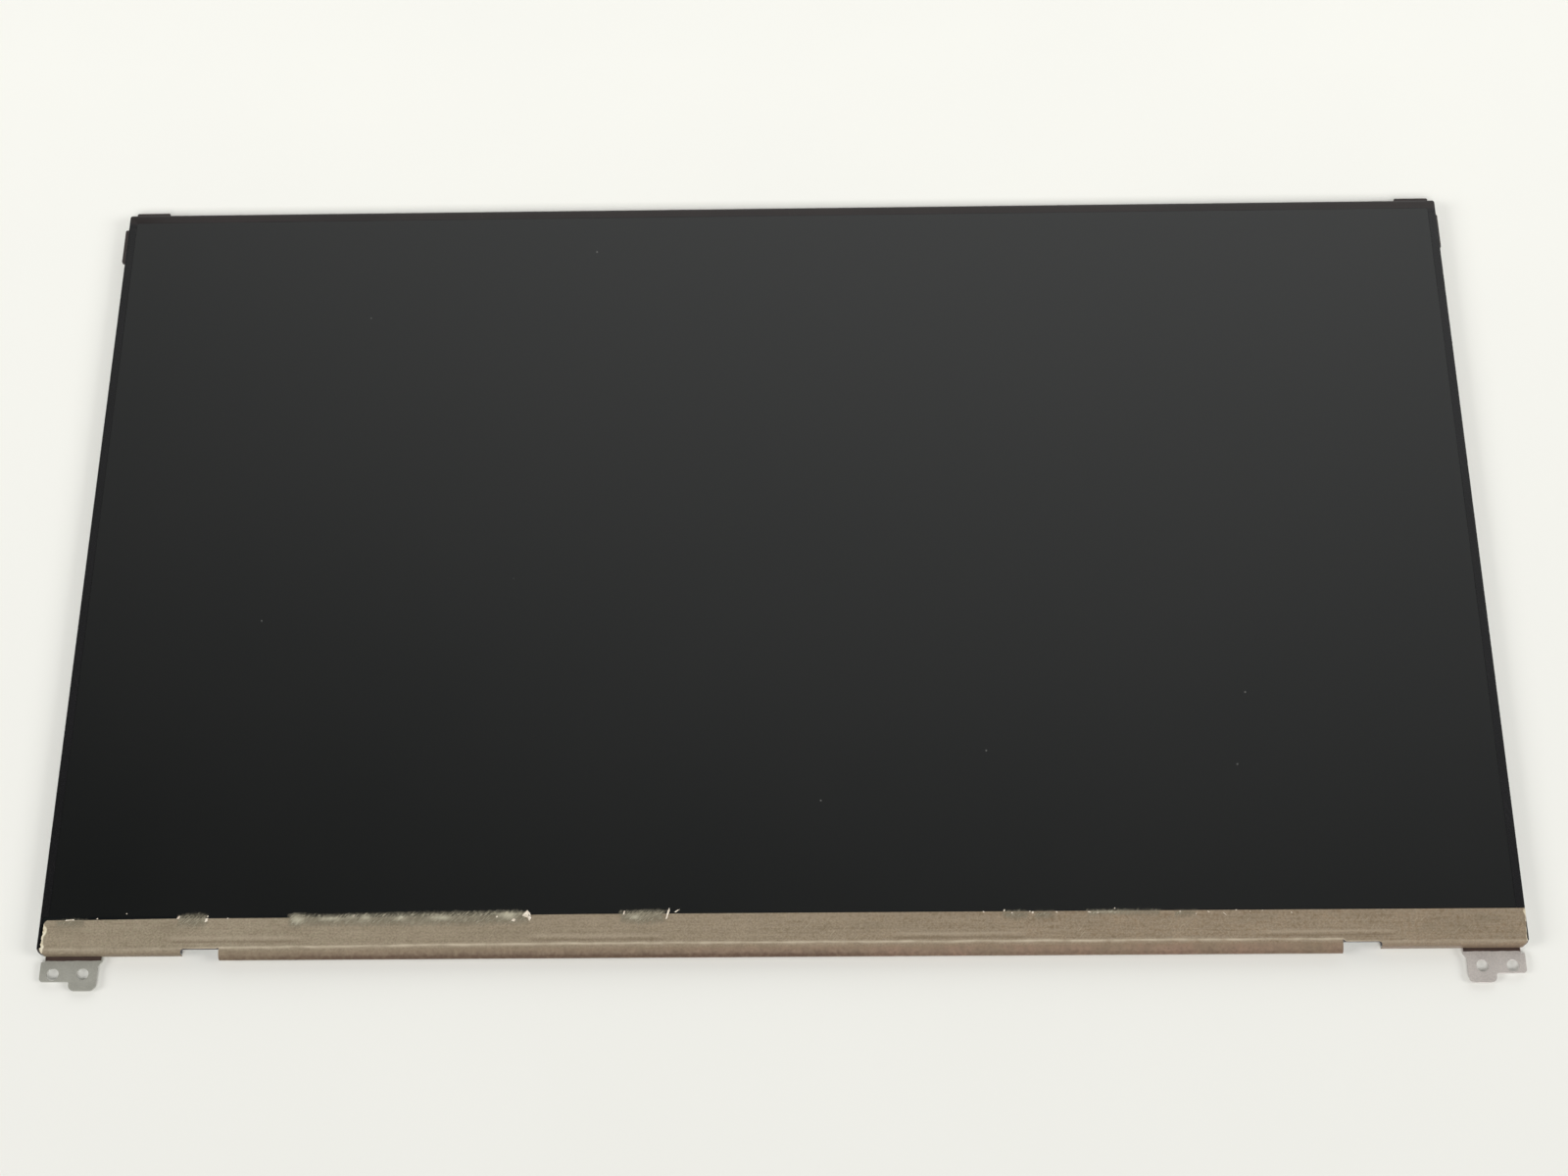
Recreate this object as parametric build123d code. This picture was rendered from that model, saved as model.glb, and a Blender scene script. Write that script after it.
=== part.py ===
from build123d import *
import os

# Bare laptop display module, lying on its back with the screen up. X runs to the right of the
# screen, Y up the screen and Z out of the screen. The origin is the centre of the outline on the
# back cover's raised seating face. All sizes are in millimetres.

# Outline and picture
WIDTH = 315.8
HEIGHT = 185.7
PICTURE_BORDER = 3.2
LOWER_CORNER_R = 1.1
UPPER_CORNER_R = 0.5

# Thicknesses of the stack, from the back to the front
COVER_T = 0.25
SEAT_RISE = 0.2
REFLECTOR_T = 0.1
GUIDE_T = 0.5
DIFFUSER_T = 0.1
PRISM_T = 0.13
LIP_GAP = 0.05
LIP_T = 0.3
BOND_T = 0.08
REAR_POLARISER_T = 0.13
GLASS_T = 0.3
FRONT_POLARISER_T = 0.18

# Tapes, flexes and fits
EDGE_TAPE_T = 0.08
FOLD_TAPE_T = 0.12
FLEX_T = 0.06
STRIP_T = 0.08
GLUE_T = 0.05
SLIP = 0.02
FIT = 0.05
SHEET_FIT = 0.2

# Black edge tape: widths on the front and on the back
EDGE_FRONT_SIDE = 1.55
EDGE_FRONT_TOP = 1.9
EDGE_BACK = 3.0
POLARISER_MARGIN = 0.3

# Fabric tape over the lower edge
TAPE_SHARE = 8.0
TAPE_LEFT_INSET = 0.85
TAPE_RIGHT_INSET = 0.4
TAPE_BEND_R = 0.8
TAPE_BACK_LEG = 6.0
MIDDLE_INSET = 38.9
MIDDLE_OUT = 1.19
NOTCH_LENGTH = 8.2
NOTCH_DEPTH = 0.95
NOTCH_R = 0.7
NOTCH_UNDERCUT = 0.65

# Moulded frame and the cover's upturned walls
COVER_WALL_TOP = 1.5
FRAME_WALL = 1.1
LIP_REACH = 1.0
LOWER_BAR = 1.8
LOWER_LIP_REACH = 4.7
RAIL_WIDTH = 1.1
SEAT_SIDE_INSET = 7.9
SEAT_TOP_INSET = 18.8
SEAT_BOARD_GAP = 5.3
SEAT_CORNER_R = 6.0
SEAT_BEVEL = 0.15
TAB_T = 0.75
TAB_TOP_INSET = 5.4
TAB_TOP_LENGTH = 8.0
TAB_TOP_OUT = 1.15
TAB_SIDE_DOWN = 8.2
TAB_SIDE_LENGTH = 9.2
TAB_LEFT_OUT = 1.0
TAB_RIGHT_OUT = 0.5
TAB_R = 0.35
CATCH_LENGTH = 6.0
CATCH_HEIGHT = 0.4

# Light bar
LED_LENGTH = 3.0
LED_DEPTH = 0.6
LED_HEIGHT = 0.45
LED_PITCH = 5.95
STRIP_WIDTH = 2.5
TAIL_WIDTH = 5.0
TAIL_INSET = 5.5
TAIL_GRIP = 1.5

# Driver chips on the glass ledge, and the flexes to the board
DRIVER_COUNT = 4
DRIVER_LENGTH = 28.0
DRIVER_WIDTH = 1.4
DRIVER_T = 0.26
FLEX_WIDTH = 66.0
FLEX_INSET = 13.0
FLEX_BOND = 1.1

# Control board on the back
BOARD_END_GAP = 2.0
BOARD_WIDTH = 13.0
BOARD_T = 0.4
BOARD_NOTCH_X = (-82.0, 94.0)
BOARD_NOTCH_R = 1.3
TALL_PART = 0.85
CONNECTOR_X = 60.0
CONNECTOR_PINS = 30
CONNECTOR_PITCH = 0.5
CONNECTOR_DEPTH = 4.0
CONNECTOR_ENDS = 1.8
HOUSING_DEPTH = 1.6
CONTACT_WIDTH = 0.2
CONTACT_T = 0.06
CONTACT_TAIL = 0.6
SHELL_T = 0.12
SOCKET_LENGTH = 6.4
SOCKET_DEPTH = 3.2
CHIP_HEIGHT = 0.7
CONTROLLER_SIZE = 6.0
POWER_SIZE = 4.5
BACKLIGHT_SIZE = 4.0
MEMORY_SIZE = 3.0
INDUCTOR_SIZE = 4.0
CONTROLLER_X = 20.0
MEMORY_X = 32.0
POWER_X = -16.0
BACKLIGHT_X = -50.0
INDUCTOR_X = (-28.0, -62.0)
SMALL_LENGTH = 1.0
SMALL_WIDTH = 0.5
CAPACITOR_HEIGHT = 0.5
RESISTOR_HEIGHT = 0.35

# Corner brackets, measured in from the panel's side and out from its lower edge
BRACKET_T = 0.4
PAD_T = 0.1
PAD_OUT = 1.1
PAD_INSET = 0.3
BRACKET_INSET = 0.5
BRACKET_WIDTH = 12.3
BRACKET_LENGTH = 11.5
EAR_STEP = 0.8
EAR_WIDTH = 6.4
EAR_OUT = 5.4
LOBE_WIDTH = 5.9
LOBE_OUT = 7.4
LOBE_SHOULDER = 2.2
LOBE_R = 1.3
EAR_R = 0.8
STEP_R = 0.4
HOLE_R = 1.3
HOLE_OUT = 3.8
HOLE_INSET = 2.8
HOLE_SPACING = 6.4

# Levels worked out from the thicknesses; the rim is the cover's lower, unraised border
Z_RIM = SEAT_RISE
Z_FLOOR = Z_RIM + COVER_T
Z_GUIDE = Z_FLOOR + REFLECTOR_T
Z_DIFFUSER = Z_GUIDE + GUIDE_T
Z_LOWER_PRISM = Z_DIFFUSER + DIFFUSER_T
Z_UPPER_PRISM = Z_LOWER_PRISM + PRISM_T
Z_LIP = Z_UPPER_PRISM + PRISM_T + LIP_GAP
Z_FRAME_TOP = Z_LIP + LIP_T
Z_ARRAY = Z_FRAME_TOP + BOND_T
Z_LEDGE = Z_ARRAY + GLASS_T
Z_FILTER_TOP = Z_LEDGE + GLASS_T
Z_BOARD_TOP = Z_RIM - GLUE_T
Z_BOARD = Z_BOARD_TOP - BOARD_T
Z_CONNECTOR = Z_BOARD - TALL_PART

# Edges worked out from the outline
TOP = HEIGHT / 2
BOTTOM = -HEIGHT / 2
SIDE = WIDTH / 2
PICTURE_WIDTH = WIDTH - 2 * PICTURE_BORDER
TAPE_TOP = BOTTOM + TAPE_SHARE
COVER_IN = EDGE_TAPE_T + SLIP
COVER_LOW_IN = FOLD_TAPE_T + SLIP
FRAME_IN = COVER_IN + COVER_T + FIT
FRAME_LOW_IN = COVER_LOW_IN + COVER_T + FIT
CAVITY_SIDE = SIDE - FRAME_IN - FRAME_WALL
CAVITY_TOP = TOP - FRAME_IN - FRAME_WALL
CAVITY_BOTTOM = BOTTOM + FRAME_LOW_IN + LOWER_BAR
GLASS_SIDE = SIDE - COVER_IN - SHEET_FIT
GLASS_TOP = TOP - COVER_IN - SHEET_FIT
RAIL_INNER = BOTTOM + COVER_LOW_IN + RAIL_WIDTH
GLASS_BOTTOM = RAIL_INNER + SHEET_FIT
MIDDLE_HALF = SIDE - MIDDLE_INSET
NOTCH_OUTER = MIDDLE_HALF + NOTCH_LENGTH
NOTCH_EDGE = BOTTOM + NOTCH_DEPTH
UNDERCUT_EDGE = NOTCH_EDGE + NOTCH_UNDERCUT
STRIP_BOTTOM = UNDERCUT_EDGE + FIT
STRIP_TOP = STRIP_BOTTOM + STRIP_WIDTH
LED_BOTTOM = CAVITY_BOTTOM + SHEET_FIT
LED_COUNT = round(PICTURE_WIDTH / LED_PITCH)
GUIDE_BOTTOM = LED_BOTTOM + LED_DEPTH + SHEET_FIT / 2
Z_TAPE_BACK = Z_BOARD - STRIP_T - SLIP
FOLD_Y = BOTTOM - MIDDLE_OUT + FOLD_TAPE_T + (Z_FILTER_TOP - Z_TAPE_BACK) / 2
BOARD_LOW = BOTTOM + COVER_LOW_IN + 2 * SHEET_FIT
BOARD_HIGH = BOARD_LOW + BOARD_WIDTH
PARTS_LOW = BOTTOM + TAPE_BACK_LEG + FIT
PARTS_MIDDLE = (PARTS_LOW + BOARD_HIGH) / 2
BOARD_HALF = MIDDLE_HALF - BOARD_END_GAP
TAIL_X = TAIL_INSET - BOARD_HALF
TAB_TOP_X = SIDE - TAB_TOP_INSET
DRIVER_PITCH = PICTURE_WIDTH / DRIVER_COUNT
FLEX_OUTER = MIDDLE_HALF - FLEX_INSET
SEAT_TOP = TOP - SEAT_TOP_INSET
SEAT_LOW = BOARD_HIGH + SEAT_BOARD_GAP
CONNECTOR_HALF = CONNECTOR_PINS * CONNECTOR_PITCH / 2 + CONNECTOR_ENDS
MOUTH = BOARD_HIGH - SHEET_FIT
CONNECTOR_BACK = MOUTH - CONNECTOR_DEPTH
BRACKET_OUTER = SIDE - BRACKET_INSET
BRACKET_NECK = BRACKET_OUTER - EAR_STEP
BRACKET_INNER = BRACKET_NECK - BRACKET_WIDTH
LOBE_OUTER = BRACKET_OUTER - EAR_WIDTH
LOBE_INNER = LOBE_OUTER - LOBE_WIDTH
OUTER_HOLE_X = BRACKET_OUTER - HOLE_INSET


def plate(x0, x1, y0, y1, z0, z1):
    """A flat piece between two planes on each axis."""
    block = Box(x1 - x0, y1 - y0, z1 - z0, align=(Align.MIN, Align.MIN, Align.MIN))
    return Pos(x0, y0, z0) * block


def outline(side, top, bottom):
    """The panel's outline drawn in from its sides, top and bottom, with its rounded corners."""
    height = HEIGHT - top - bottom
    face = Pos(0, (bottom - top) / 2) * Rectangle(WIDTH - 2 * side, height)
    lower_r = max(LOWER_CORNER_R - max(side, bottom), UPPER_CORNER_R / 2)
    upper_r = max(UPPER_CORNER_R - max(side, top), UPPER_CORNER_R / 2)
    face = fillet(face.vertices().group_by(Axis.Y)[0], lower_r)
    return fillet(face.vertices().group_by(Axis.Y)[-1], upper_r)


def layer(face, z0, z1):
    """A flat outline raised between two levels."""
    return extrude(Pos(0, 0, z0) * face, z1 - z0)


def along_x(profile, x0, x1):
    """A Y-Z profile drawn out from x0 to x1."""
    return extrude(Plane.YZ.offset(x0) * profile, x1 - x0)


def both_sides(shape):
    """A piece and its mirror image across the panel's middle."""
    return [shape, mirror(shape, about=Plane.YZ)]


def folded_strip(y_front, y_back, y_front_bend, y_back_bend, z_front, z_back, t):
    """Profile of a strip folded back under itself round a lower edge.

    The front leg's underside is at z_front and the back leg's upper side at z_back. The lower
    quarter of the fold is round, and the upper one is stretched out to where the front leg ends.
    """
    r = (z_front - z_back) / 2
    mid = (y_back_bend, (z_front + z_back) / 2)
    stretch = y_front_bend - (y_back_bend - r)
    crown = (y_front_bend, mid[1])
    inner = EllipticalCenterArc(crown, stretch, r, 90, arc_size=90)
    inner_low = CenterArc(mid, r, 180, 90)
    outer = EllipticalCenterArc(crown, stretch + t, r + t, 90, arc_size=90)
    outer_low = CenterArc(mid, r + t, 180, 90)
    front = [Line((y_front, z_front), (y_front_bend, z_front))]
    front += [Line((y_front_bend, z_front + t), (y_front, z_front + t))]
    back = [Line((y_back_bend, z_back), (y_back, z_back))]
    back += [Line((y_back, z_back - t), (y_back_bend, z_back - t))]
    ends = [Line((y_front, z_front + t), (y_front, z_front))]
    ends += [Line((y_back, z_back), (y_back, z_back - t))]
    return make_face(front + back + ends + [inner, inner_low, outer, outer_low])


def tabs(grow):
    """The frame's four locating tabs: two on the top edge and two on the sides near the top."""
    z0 = Z_FRAME_TOP - TAB_T - grow
    z1 = Z_FRAME_TOP + grow
    half = TAB_TOP_LENGTH / 2 + grow
    pieces = []
    for x in (-TAB_TOP_X, TAB_TOP_X):
        tab = plate(x - half, x + half, TOP - FRAME_WALL, TOP + TAB_TOP_OUT + grow, z0, z1)
        pieces.append(fillet(tab.edges().filter_by(Axis.Z).group_by(Axis.Y)[-1], TAB_R))
    high = TOP - TAB_SIDE_DOWN + TAB_SIDE_LENGTH / 2 + grow
    low = high - TAB_SIDE_LENGTH - 2 * grow
    left = plate(-SIDE - TAB_LEFT_OUT - grow, -SIDE + FRAME_WALL, low, high, z0, z1)
    right = plate(SIDE - FRAME_WALL, SIDE + TAB_RIGHT_OUT + grow, low, high, z0, z1)
    pieces.append(fillet(left.edges().filter_by(Axis.Z).group_by(Axis.X)[0], TAB_R))
    pieces.append(fillet(right.edges().filter_by(Axis.Z).group_by(Axis.X)[-1], TAB_R))
    return pieces


def catches(grow):
    """Low catches on the frame's walls that snap into windows in the cover's walls."""
    z0 = Z_FLOOR + CATCH_HEIGHT - grow
    z1 = Z_FLOOR + 2 * CATCH_HEIGHT + grow
    half = CATCH_LENGTH / 2 + grow
    reach = COVER_T - FIT
    pieces = []
    for x in (-WIDTH / 4, 0, WIDTH / 4):
        y = TOP - FRAME_IN
        pieces.append(plate(x - half, x + half, y - FRAME_WALL / 2, y + reach + grow, z0, z1))
    for y in (-HEIGHT / 4, HEIGHT / 8):
        x = SIDE - FRAME_IN
        pieces += both_sides(plate(x - FRAME_WALL / 2, x + reach + grow, y - half, y + half, z0, z1))
    return pieces


def notch_cutters(edge, z0, z1):
    """The two relief notches in the lower edge, each with a rounded outer end."""
    cutter = plate(MIDDLE_HALF, NOTCH_OUTER, BOTTOM - NOTCH_LENGTH, edge, z0, z1)
    corner = cutter.edges().filter_by(Axis.Z).group_by(Axis.Y)[-1].sort_by(Axis.X)[-1]
    return both_sides(fillet(corner, NOTCH_R))


def rear_cover():
    """Pressed aluminium pan: flat rim, a raised seating face and low upturned walls."""
    pan = layer(outline(COVER_IN, COVER_IN, COVER_LOW_IN), Z_RIM, COVER_WALL_TOP)
    pan = fillet(pan.faces().sort_by(Axis.Z)[0].edges(), COVER_T / 2)
    inside = outline(COVER_IN + COVER_T, COVER_IN + COVER_T, COVER_LOW_IN + COVER_T)
    pan -= layer(inside, Z_FLOOR, COVER_WALL_TOP + COVER_T)
    seat = RectangleRounded(WIDTH - 2 * SEAT_SIDE_INSET, SEAT_TOP - SEAT_LOW, SEAT_CORNER_R)
    seat = Pos(0, (SEAT_TOP + SEAT_LOW) / 2) * seat
    pan += extrude(seat, Z_RIM + COVER_T / 2)
    pan = chamfer(pan.faces().sort_by(Axis.Z)[0].edges(), SEAT_BEVEL)
    pan -= layer(offset(seat, -COVER_T), COVER_T, Z_FLOOR + COVER_T)
    for cutter in tabs(FIT) + catches(FIT) + notch_cutters(UNDERCUT_EDGE, 0, 2 * COVER_WALL_TOP):
        pan -= cutter
    tail_half = TAIL_WIDTH / 2 + SHEET_FIT
    wall_inner = BOTTOM + COVER_LOW_IN + COVER_T + FIT
    z1 = Z_FLOOR + STRIP_T + FIT
    return pan - plate(TAIL_X - tail_half, TAIL_X + tail_half, BOTTOM, wall_inner, 0, z1)


def frame_opening(reach, low):
    """The frame's window at a level, drawn in from the cavity by the lip's reach."""
    width = 2 * (CAVITY_SIDE - reach)
    high = CAVITY_TOP - reach
    return Pos(0, (high + low) / 2) * Rectangle(width, high - low)


def mould_frame():
    """Moulded frame: outer wall, sheet-retaining lip, raised lower rail, tabs and catches."""
    body = layer(outline(FRAME_IN, FRAME_IN, FRAME_LOW_IN), Z_FLOOR, Z_FRAME_TOP)
    body += layer(outline(COVER_IN, COVER_IN, COVER_LOW_IN), COVER_WALL_TOP + FIT, Z_FRAME_TOP)
    body -= layer(frame_opening(0, CAVITY_BOTTOM), 0, Z_LIP)
    body -= layer(frame_opening(LIP_REACH, CAVITY_BOTTOM + LOWER_LIP_REACH), 0, Z_FRAME_TOP + LIP_T)
    body -= plate(-SIDE, SIDE, BOTTOM, CAVITY_BOTTOM, 0, Z_FLOOR + STRIP_T)
    rail = layer(outline(COVER_IN, COVER_IN, COVER_LOW_IN), COVER_WALL_TOP + FIT, Z_FILTER_TOP - SLIP)
    rail &= plate(-SIDE, SIDE, BOTTOM, RAIL_INNER, 0, Z_FILTER_TOP)
    rail -= plate(-MIDDLE_HALF, MIDDLE_HALF, BOTTOM, TOP, Z_LEDGE - GLASS_T / 2, Z_FILTER_TOP)
    nose = plate(-SIDE, SIDE, BOTTOM, RAIL_INNER + RAIL_WIDTH, 0, Z_FILTER_TOP - SLIP)
    crest = nose.edges().filter_by(Axis.X).group_by(Axis.Z)[-1].sort_by(Axis.Y)[0]
    nose = Pos(0, COVER_LOW_IN, 0) * fillet(crest, TAPE_BEND_R - SLIP)
    body += rail & nose
    for tab in tabs(0) + catches(0):
        body += tab
    for cutter in notch_cutters(NOTCH_EDGE + SLIP, 0, Z_FILTER_TOP + FIT):
        body -= cutter
    for cutter in notch_cutters(UNDERCUT_EDGE, 0, Z_FRAME_TOP):
        body -= cutter
    return body


def sheet(z0, t, low):
    """A sheet of the backlight, lying loose inside the frame's wall."""
    return plate(-CAVITY_SIDE + SHEET_FIT, CAVITY_SIDE - SHEET_FIT, low, CAVITY_TOP - SHEET_FIT, z0, z0 + t)


def light_bar_strip():
    """Flex strip under the lamps, with the tail that folds round the cover's edge to the board."""
    strip = plate(-CAVITY_SIDE, CAVITY_SIDE, STRIP_BOTTOM, STRIP_TOP, Z_FLOOR, Z_FLOOR + STRIP_T)
    bend = BOTTOM + COVER_LOW_IN
    tail = folded_strip(STRIP_BOTTOM, PARTS_LOW + TAIL_GRIP, bend, bend, Z_FLOOR, Z_BOARD, STRIP_T)
    return strip + along_x(tail, TAIL_X - TAIL_WIDTH / 2, TAIL_X + TAIL_WIDTH / 2)


def light_bar_lamps():
    """The row of side-lit lamps along the light guide's lower edge."""
    lamps = []
    z0 = Z_FLOOR + STRIP_T
    for i in range(LED_COUNT):
        x = (i - (LED_COUNT - 1) / 2) * LED_PITCH
        half = LED_LENGTH / 2
        lamps.append(plate(x - half, x + half, LED_BOTTOM, LED_BOTTOM + LED_DEPTH, z0, z0 + LED_HEIGHT))
    return Compound(lamps)


def cell_bond():
    """Black double-sided tape that holds the glass on the frame's lip."""
    low = CAVITY_BOTTOM + LOWER_LIP_REACH
    ring = plate(-GLASS_SIDE, GLASS_SIDE, GLASS_BOTTOM, GLASS_TOP, Z_FRAME_TOP, Z_ARRAY)
    return ring - layer(frame_opening(LIP_REACH, low), 0, Z_ARRAY + BOND_T)


def rear_polariser():
    """Film on the back of the array glass, inside the frame's window."""
    reach = LIP_REACH + SHEET_FIT
    window = frame_opening(reach, CAVITY_BOTTOM + LOWER_LIP_REACH + SHEET_FIT)
    return layer(window, Z_ARRAY - REAR_POLARISER_T, Z_ARRAY)


def array_glass():
    """Rear glass of the cell. Its lower ledge carries the driver chips."""
    return plate(-GLASS_SIDE, GLASS_SIDE, GLASS_BOTTOM, GLASS_TOP, Z_ARRAY, Z_LEDGE)


def colour_filter_glass():
    """Front glass of the cell, short of the ledge."""
    low = TAPE_TOP - EDGE_FRONT_SIDE
    return plate(-GLASS_SIDE, GLASS_SIDE, low, GLASS_TOP, Z_LEDGE, Z_FILTER_TOP)


def front_polariser():
    """Matte film on the front glass: the screen's visible surface."""
    half = SIDE - EDGE_FRONT_SIDE - POLARISER_MARGIN
    high = TOP - EDGE_FRONT_TOP - POLARISER_MARGIN
    return plate(-half, half, TAPE_TOP + SHEET_FIT, high, Z_FILTER_TOP, Z_FILTER_TOP + FRONT_POLARISER_T)


def driver_chips():
    """Long driver chips on the glass ledge, one for each share of the picture's width."""
    chips = []
    low = GLASS_BOTTOM + FLEX_BOND + SHEET_FIT
    for i in range(DRIVER_COUNT):
        x = (i - (DRIVER_COUNT - 1) / 2) * DRIVER_PITCH
        half = DRIVER_LENGTH / 2
        chips.append(plate(x - half, x + half, low, low + DRIVER_WIDTH, Z_LEDGE, Z_LEDGE + DRIVER_T))
    return Compound(chips)


def panel_flexes():
    """Two flexes from the glass ledge round the lower edge to the board's outer face."""
    profile = folded_strip(GLASS_BOTTOM + FLEX_BOND, BOARD_LOW + 2 * FLEX_BOND, FOLD_Y, FOLD_Y, Z_LEDGE,
                           Z_BOARD, FLEX_T)
    return Compound(both_sides(along_x(profile, FLEX_OUTER - FLEX_WIDTH, FLEX_OUTER)))


def side_fold():
    """Profile of the fabric tape where it is folded tight over the panel's lower edge."""
    t = FOLD_TAPE_T
    r = TAPE_BEND_R
    wall = BOTTOM + t
    z1 = Z_FILTER_TOP
    end = BOTTOM + TAPE_BACK_LEG
    bend = (wall + r, z1 - r)
    edges = [Line((TAPE_TOP, z1), (wall + r, z1)), CenterArc(bend, r, 90, 90)]
    edges += [Line((wall, z1 - r), (wall, Z_RIM)), Line((wall, Z_RIM), (end, Z_RIM))]
    edges += [Line((end, Z_RIM), (end, Z_RIM - t)), Line((end, Z_RIM - t), (wall, Z_RIM - t))]
    edges += [CenterArc((wall, Z_RIM), t, 180, 90), Line((BOTTOM, Z_RIM), (BOTTOM, z1 - r))]
    edges += [CenterArc(bend, r + t, 90, 90), Line((wall + r, z1 + t), (TAPE_TOP, z1 + t))]
    edges += [Line((TAPE_TOP, z1 + t), (TAPE_TOP, z1))]
    return make_face(edges)


def fabric_tape():
    """Conductive fabric tape from the front glass round the lower edge to the back.

    Its middle stands off in a round fold over the flexes and ends on the board. Past the relief
    notches it is folded tight, and next to the brackets it stops at the lower edge.
    """
    back_end = BOTTOM + TAPE_BACK_LEG
    bend = BOTTOM + FOLD_TAPE_T + TAPE_BEND_R
    middle = folded_strip(TAPE_TOP, back_end, bend, FOLD_Y, Z_FILTER_TOP, Z_TAPE_BACK, FOLD_TAPE_T)
    left = -SIDE + TAPE_LEFT_INSET
    right = SIDE - TAPE_RIGHT_INSET
    ends = along_x(side_fold(), left, -MIDDLE_HALF) + along_x(side_fold(), MIDDLE_HALF, right)
    plan = Pos((left + right) / 2, (BOTTOM + TAPE_TOP) / 2) * Rectangle(right - left, TAPE_SHARE)
    ends &= layer(fillet(plan.vertices().group_by(Axis.Y)[0], LOWER_CORNER_R), -HEIGHT, HEIGHT)
    for cutter in both_sides(plate(BRACKET_INNER - FIT, SIDE, BOTTOM, TAPE_TOP, 0, Z_FLOOR)):
        ends -= cutter
    for cutter in notch_cutters(NOTCH_EDGE, 0, HEIGHT) + notch_cutters(UNDERCUT_EDGE, 0, Z_FRAME_TOP):
        ends -= cutter
    return along_x(middle, -MIDDLE_HALF, MIDDLE_HALF) + ends


def edge_wrap():
    """The black tape's whole wrap: front strip, side leg and back strip."""
    z0 = Z_RIM - EDGE_TAPE_T
    z1 = Z_FILTER_TOP + EDGE_TAPE_T
    rim = outline(0, 0, 0)
    leg = rim - outline(EDGE_TAPE_T, EDGE_TAPE_T, EDGE_TAPE_T)
    front = rim - outline(EDGE_FRONT_SIDE, EDGE_FRONT_TOP, EDGE_FRONT_SIDE)
    back = rim - outline(EDGE_BACK, EDGE_BACK, EDGE_BACK)
    wrap = layer(leg, z0, z1) + layer(front, Z_FILTER_TOP, z1) + layer(back, z0, Z_RIM)
    for cutter in tabs(FIT):
        wrap -= cutter
    return wrap


def top_edge_tape(wrap):
    """Black tape along the top edge, over both upper corners."""
    return wrap & plate(-WIDTH, WIDTH, TOP - EDGE_BACK - SHEET_FIT, HEIGHT, -HEIGHT, HEIGHT)


def side_edge_tape(wrap, side):
    """Black tape along one side, cut short of the fabric tape and of the bracket on the back."""
    seam = TOP - EDGE_BACK - SHEET_FIT - FIT
    x0 = SIDE - EDGE_BACK - SHEET_FIT
    span = (x0, WIDTH) if side > 0 else (-WIDTH, -x0)
    tape = wrap & plate(*span, BOTTOM + LOWER_CORNER_R, seam, -HEIGHT, HEIGHT)
    tape_end = SIDE - (TAPE_RIGHT_INSET if side > 0 else TAPE_LEFT_INSET) + FIT
    room = (x0, tape_end) if side > 0 else (-tape_end, -x0)
    tape -= plate(*room, BOTTOM, TAPE_TOP + FIT, Z_FLOOR, HEIGHT)
    bracket_room = BOTTOM + BRACKET_LENGTH + SHEET_FIT
    return tape - plate(-WIDTH, WIDTH, BOTTOM, bracket_room, -HEIGHT, Z_RIM)


def right_bracket():
    """Flat steel plate, with its ear and longer lobe past the panel's edge and two screw holes."""
    neck = BOTTOM - PAD_OUT
    ear = BOTTOM - EAR_OUT
    lobe = BOTTOM - LOBE_OUT
    high = BOTTOM + BRACKET_LENGTH
    points = [(BRACKET_INNER, high), (BRACKET_INNER, neck), (LOBE_INNER, BOTTOM - LOBE_SHOULDER)]
    points += [(LOBE_INNER, lobe), (LOBE_OUTER, lobe), (LOBE_OUTER, ear), (BRACKET_OUTER, ear)]
    points += [(BRACKET_OUTER, neck), (BRACKET_NECK, neck), (BRACKET_NECK, high)]
    face = make_face(Polyline(*points, close=True))
    face = fillet(face.vertices().group_by(Axis.Y)[0], LOBE_R)
    face = fillet(face.vertices().group_by(Axis.X)[-1].sort_by(Axis.Y)[0], EAR_R)
    step = face.vertices().sort_by_distance((LOBE_OUTER, ear))[0]
    face = fillet(step, STEP_R)
    for x in (OUTER_HOLE_X, OUTER_HOLE_X - HOLE_SPACING):
        face -= Pos(x, BOTTOM - HOLE_OUT) * Circle(HOLE_R)
    return layer(face, Z_RIM - PAD_T - BRACKET_T, Z_RIM - PAD_T)


def bracket_pads():
    """Dark double-sided pads between the brackets and the cover's rim."""
    high = BOTTOM + BRACKET_LENGTH - PAD_INSET
    x0 = BRACKET_INNER + PAD_INSET
    x1 = BRACKET_NECK - PAD_INSET
    pad = plate(x0, x1, BOTTOM - PAD_OUT, high, Z_RIM - PAD_T, Z_RIM)
    return Compound(both_sides(pad))


def control_board():
    """Long narrow circuit board along the lower edge, with two locating notches."""
    board = Pos(0, (BOARD_LOW + BOARD_HIGH) / 2) * Rectangle(2 * BOARD_HALF, BOARD_WIDTH)
    board = fillet(board.vertices(), UPPER_CORNER_R)
    for x in BOARD_NOTCH_X:
        board -= Pos(x, BOARD_HIGH) * Circle(BOARD_NOTCH_R)
    return layer(board, Z_BOARD, Z_BOARD_TOP)


def board_glue():
    """Thin adhesive strip between the board and the cover's rim."""
    half = BOARD_HALF - FLEX_BOND
    return plate(-half, half, BOARD_LOW + FLEX_BOND, BOARD_HIGH - FLEX_BOND, Z_BOARD_TOP, Z_RIM)


def on_board(x, y, length, width, height):
    """A block-shaped component on the board's outer face."""
    return plate(x - length / 2, x + length / 2, y - width / 2, y + width / 2, Z_BOARD - height, Z_BOARD)


def chip(x, size):
    """A square chip package with a bevelled outer edge."""
    block = on_board(x, PARTS_MIDDLE, size, size, CHIP_HEIGHT)
    return chamfer(block.faces().sort_by(Axis.Z)[0].edges(), SHELL_T)


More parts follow.
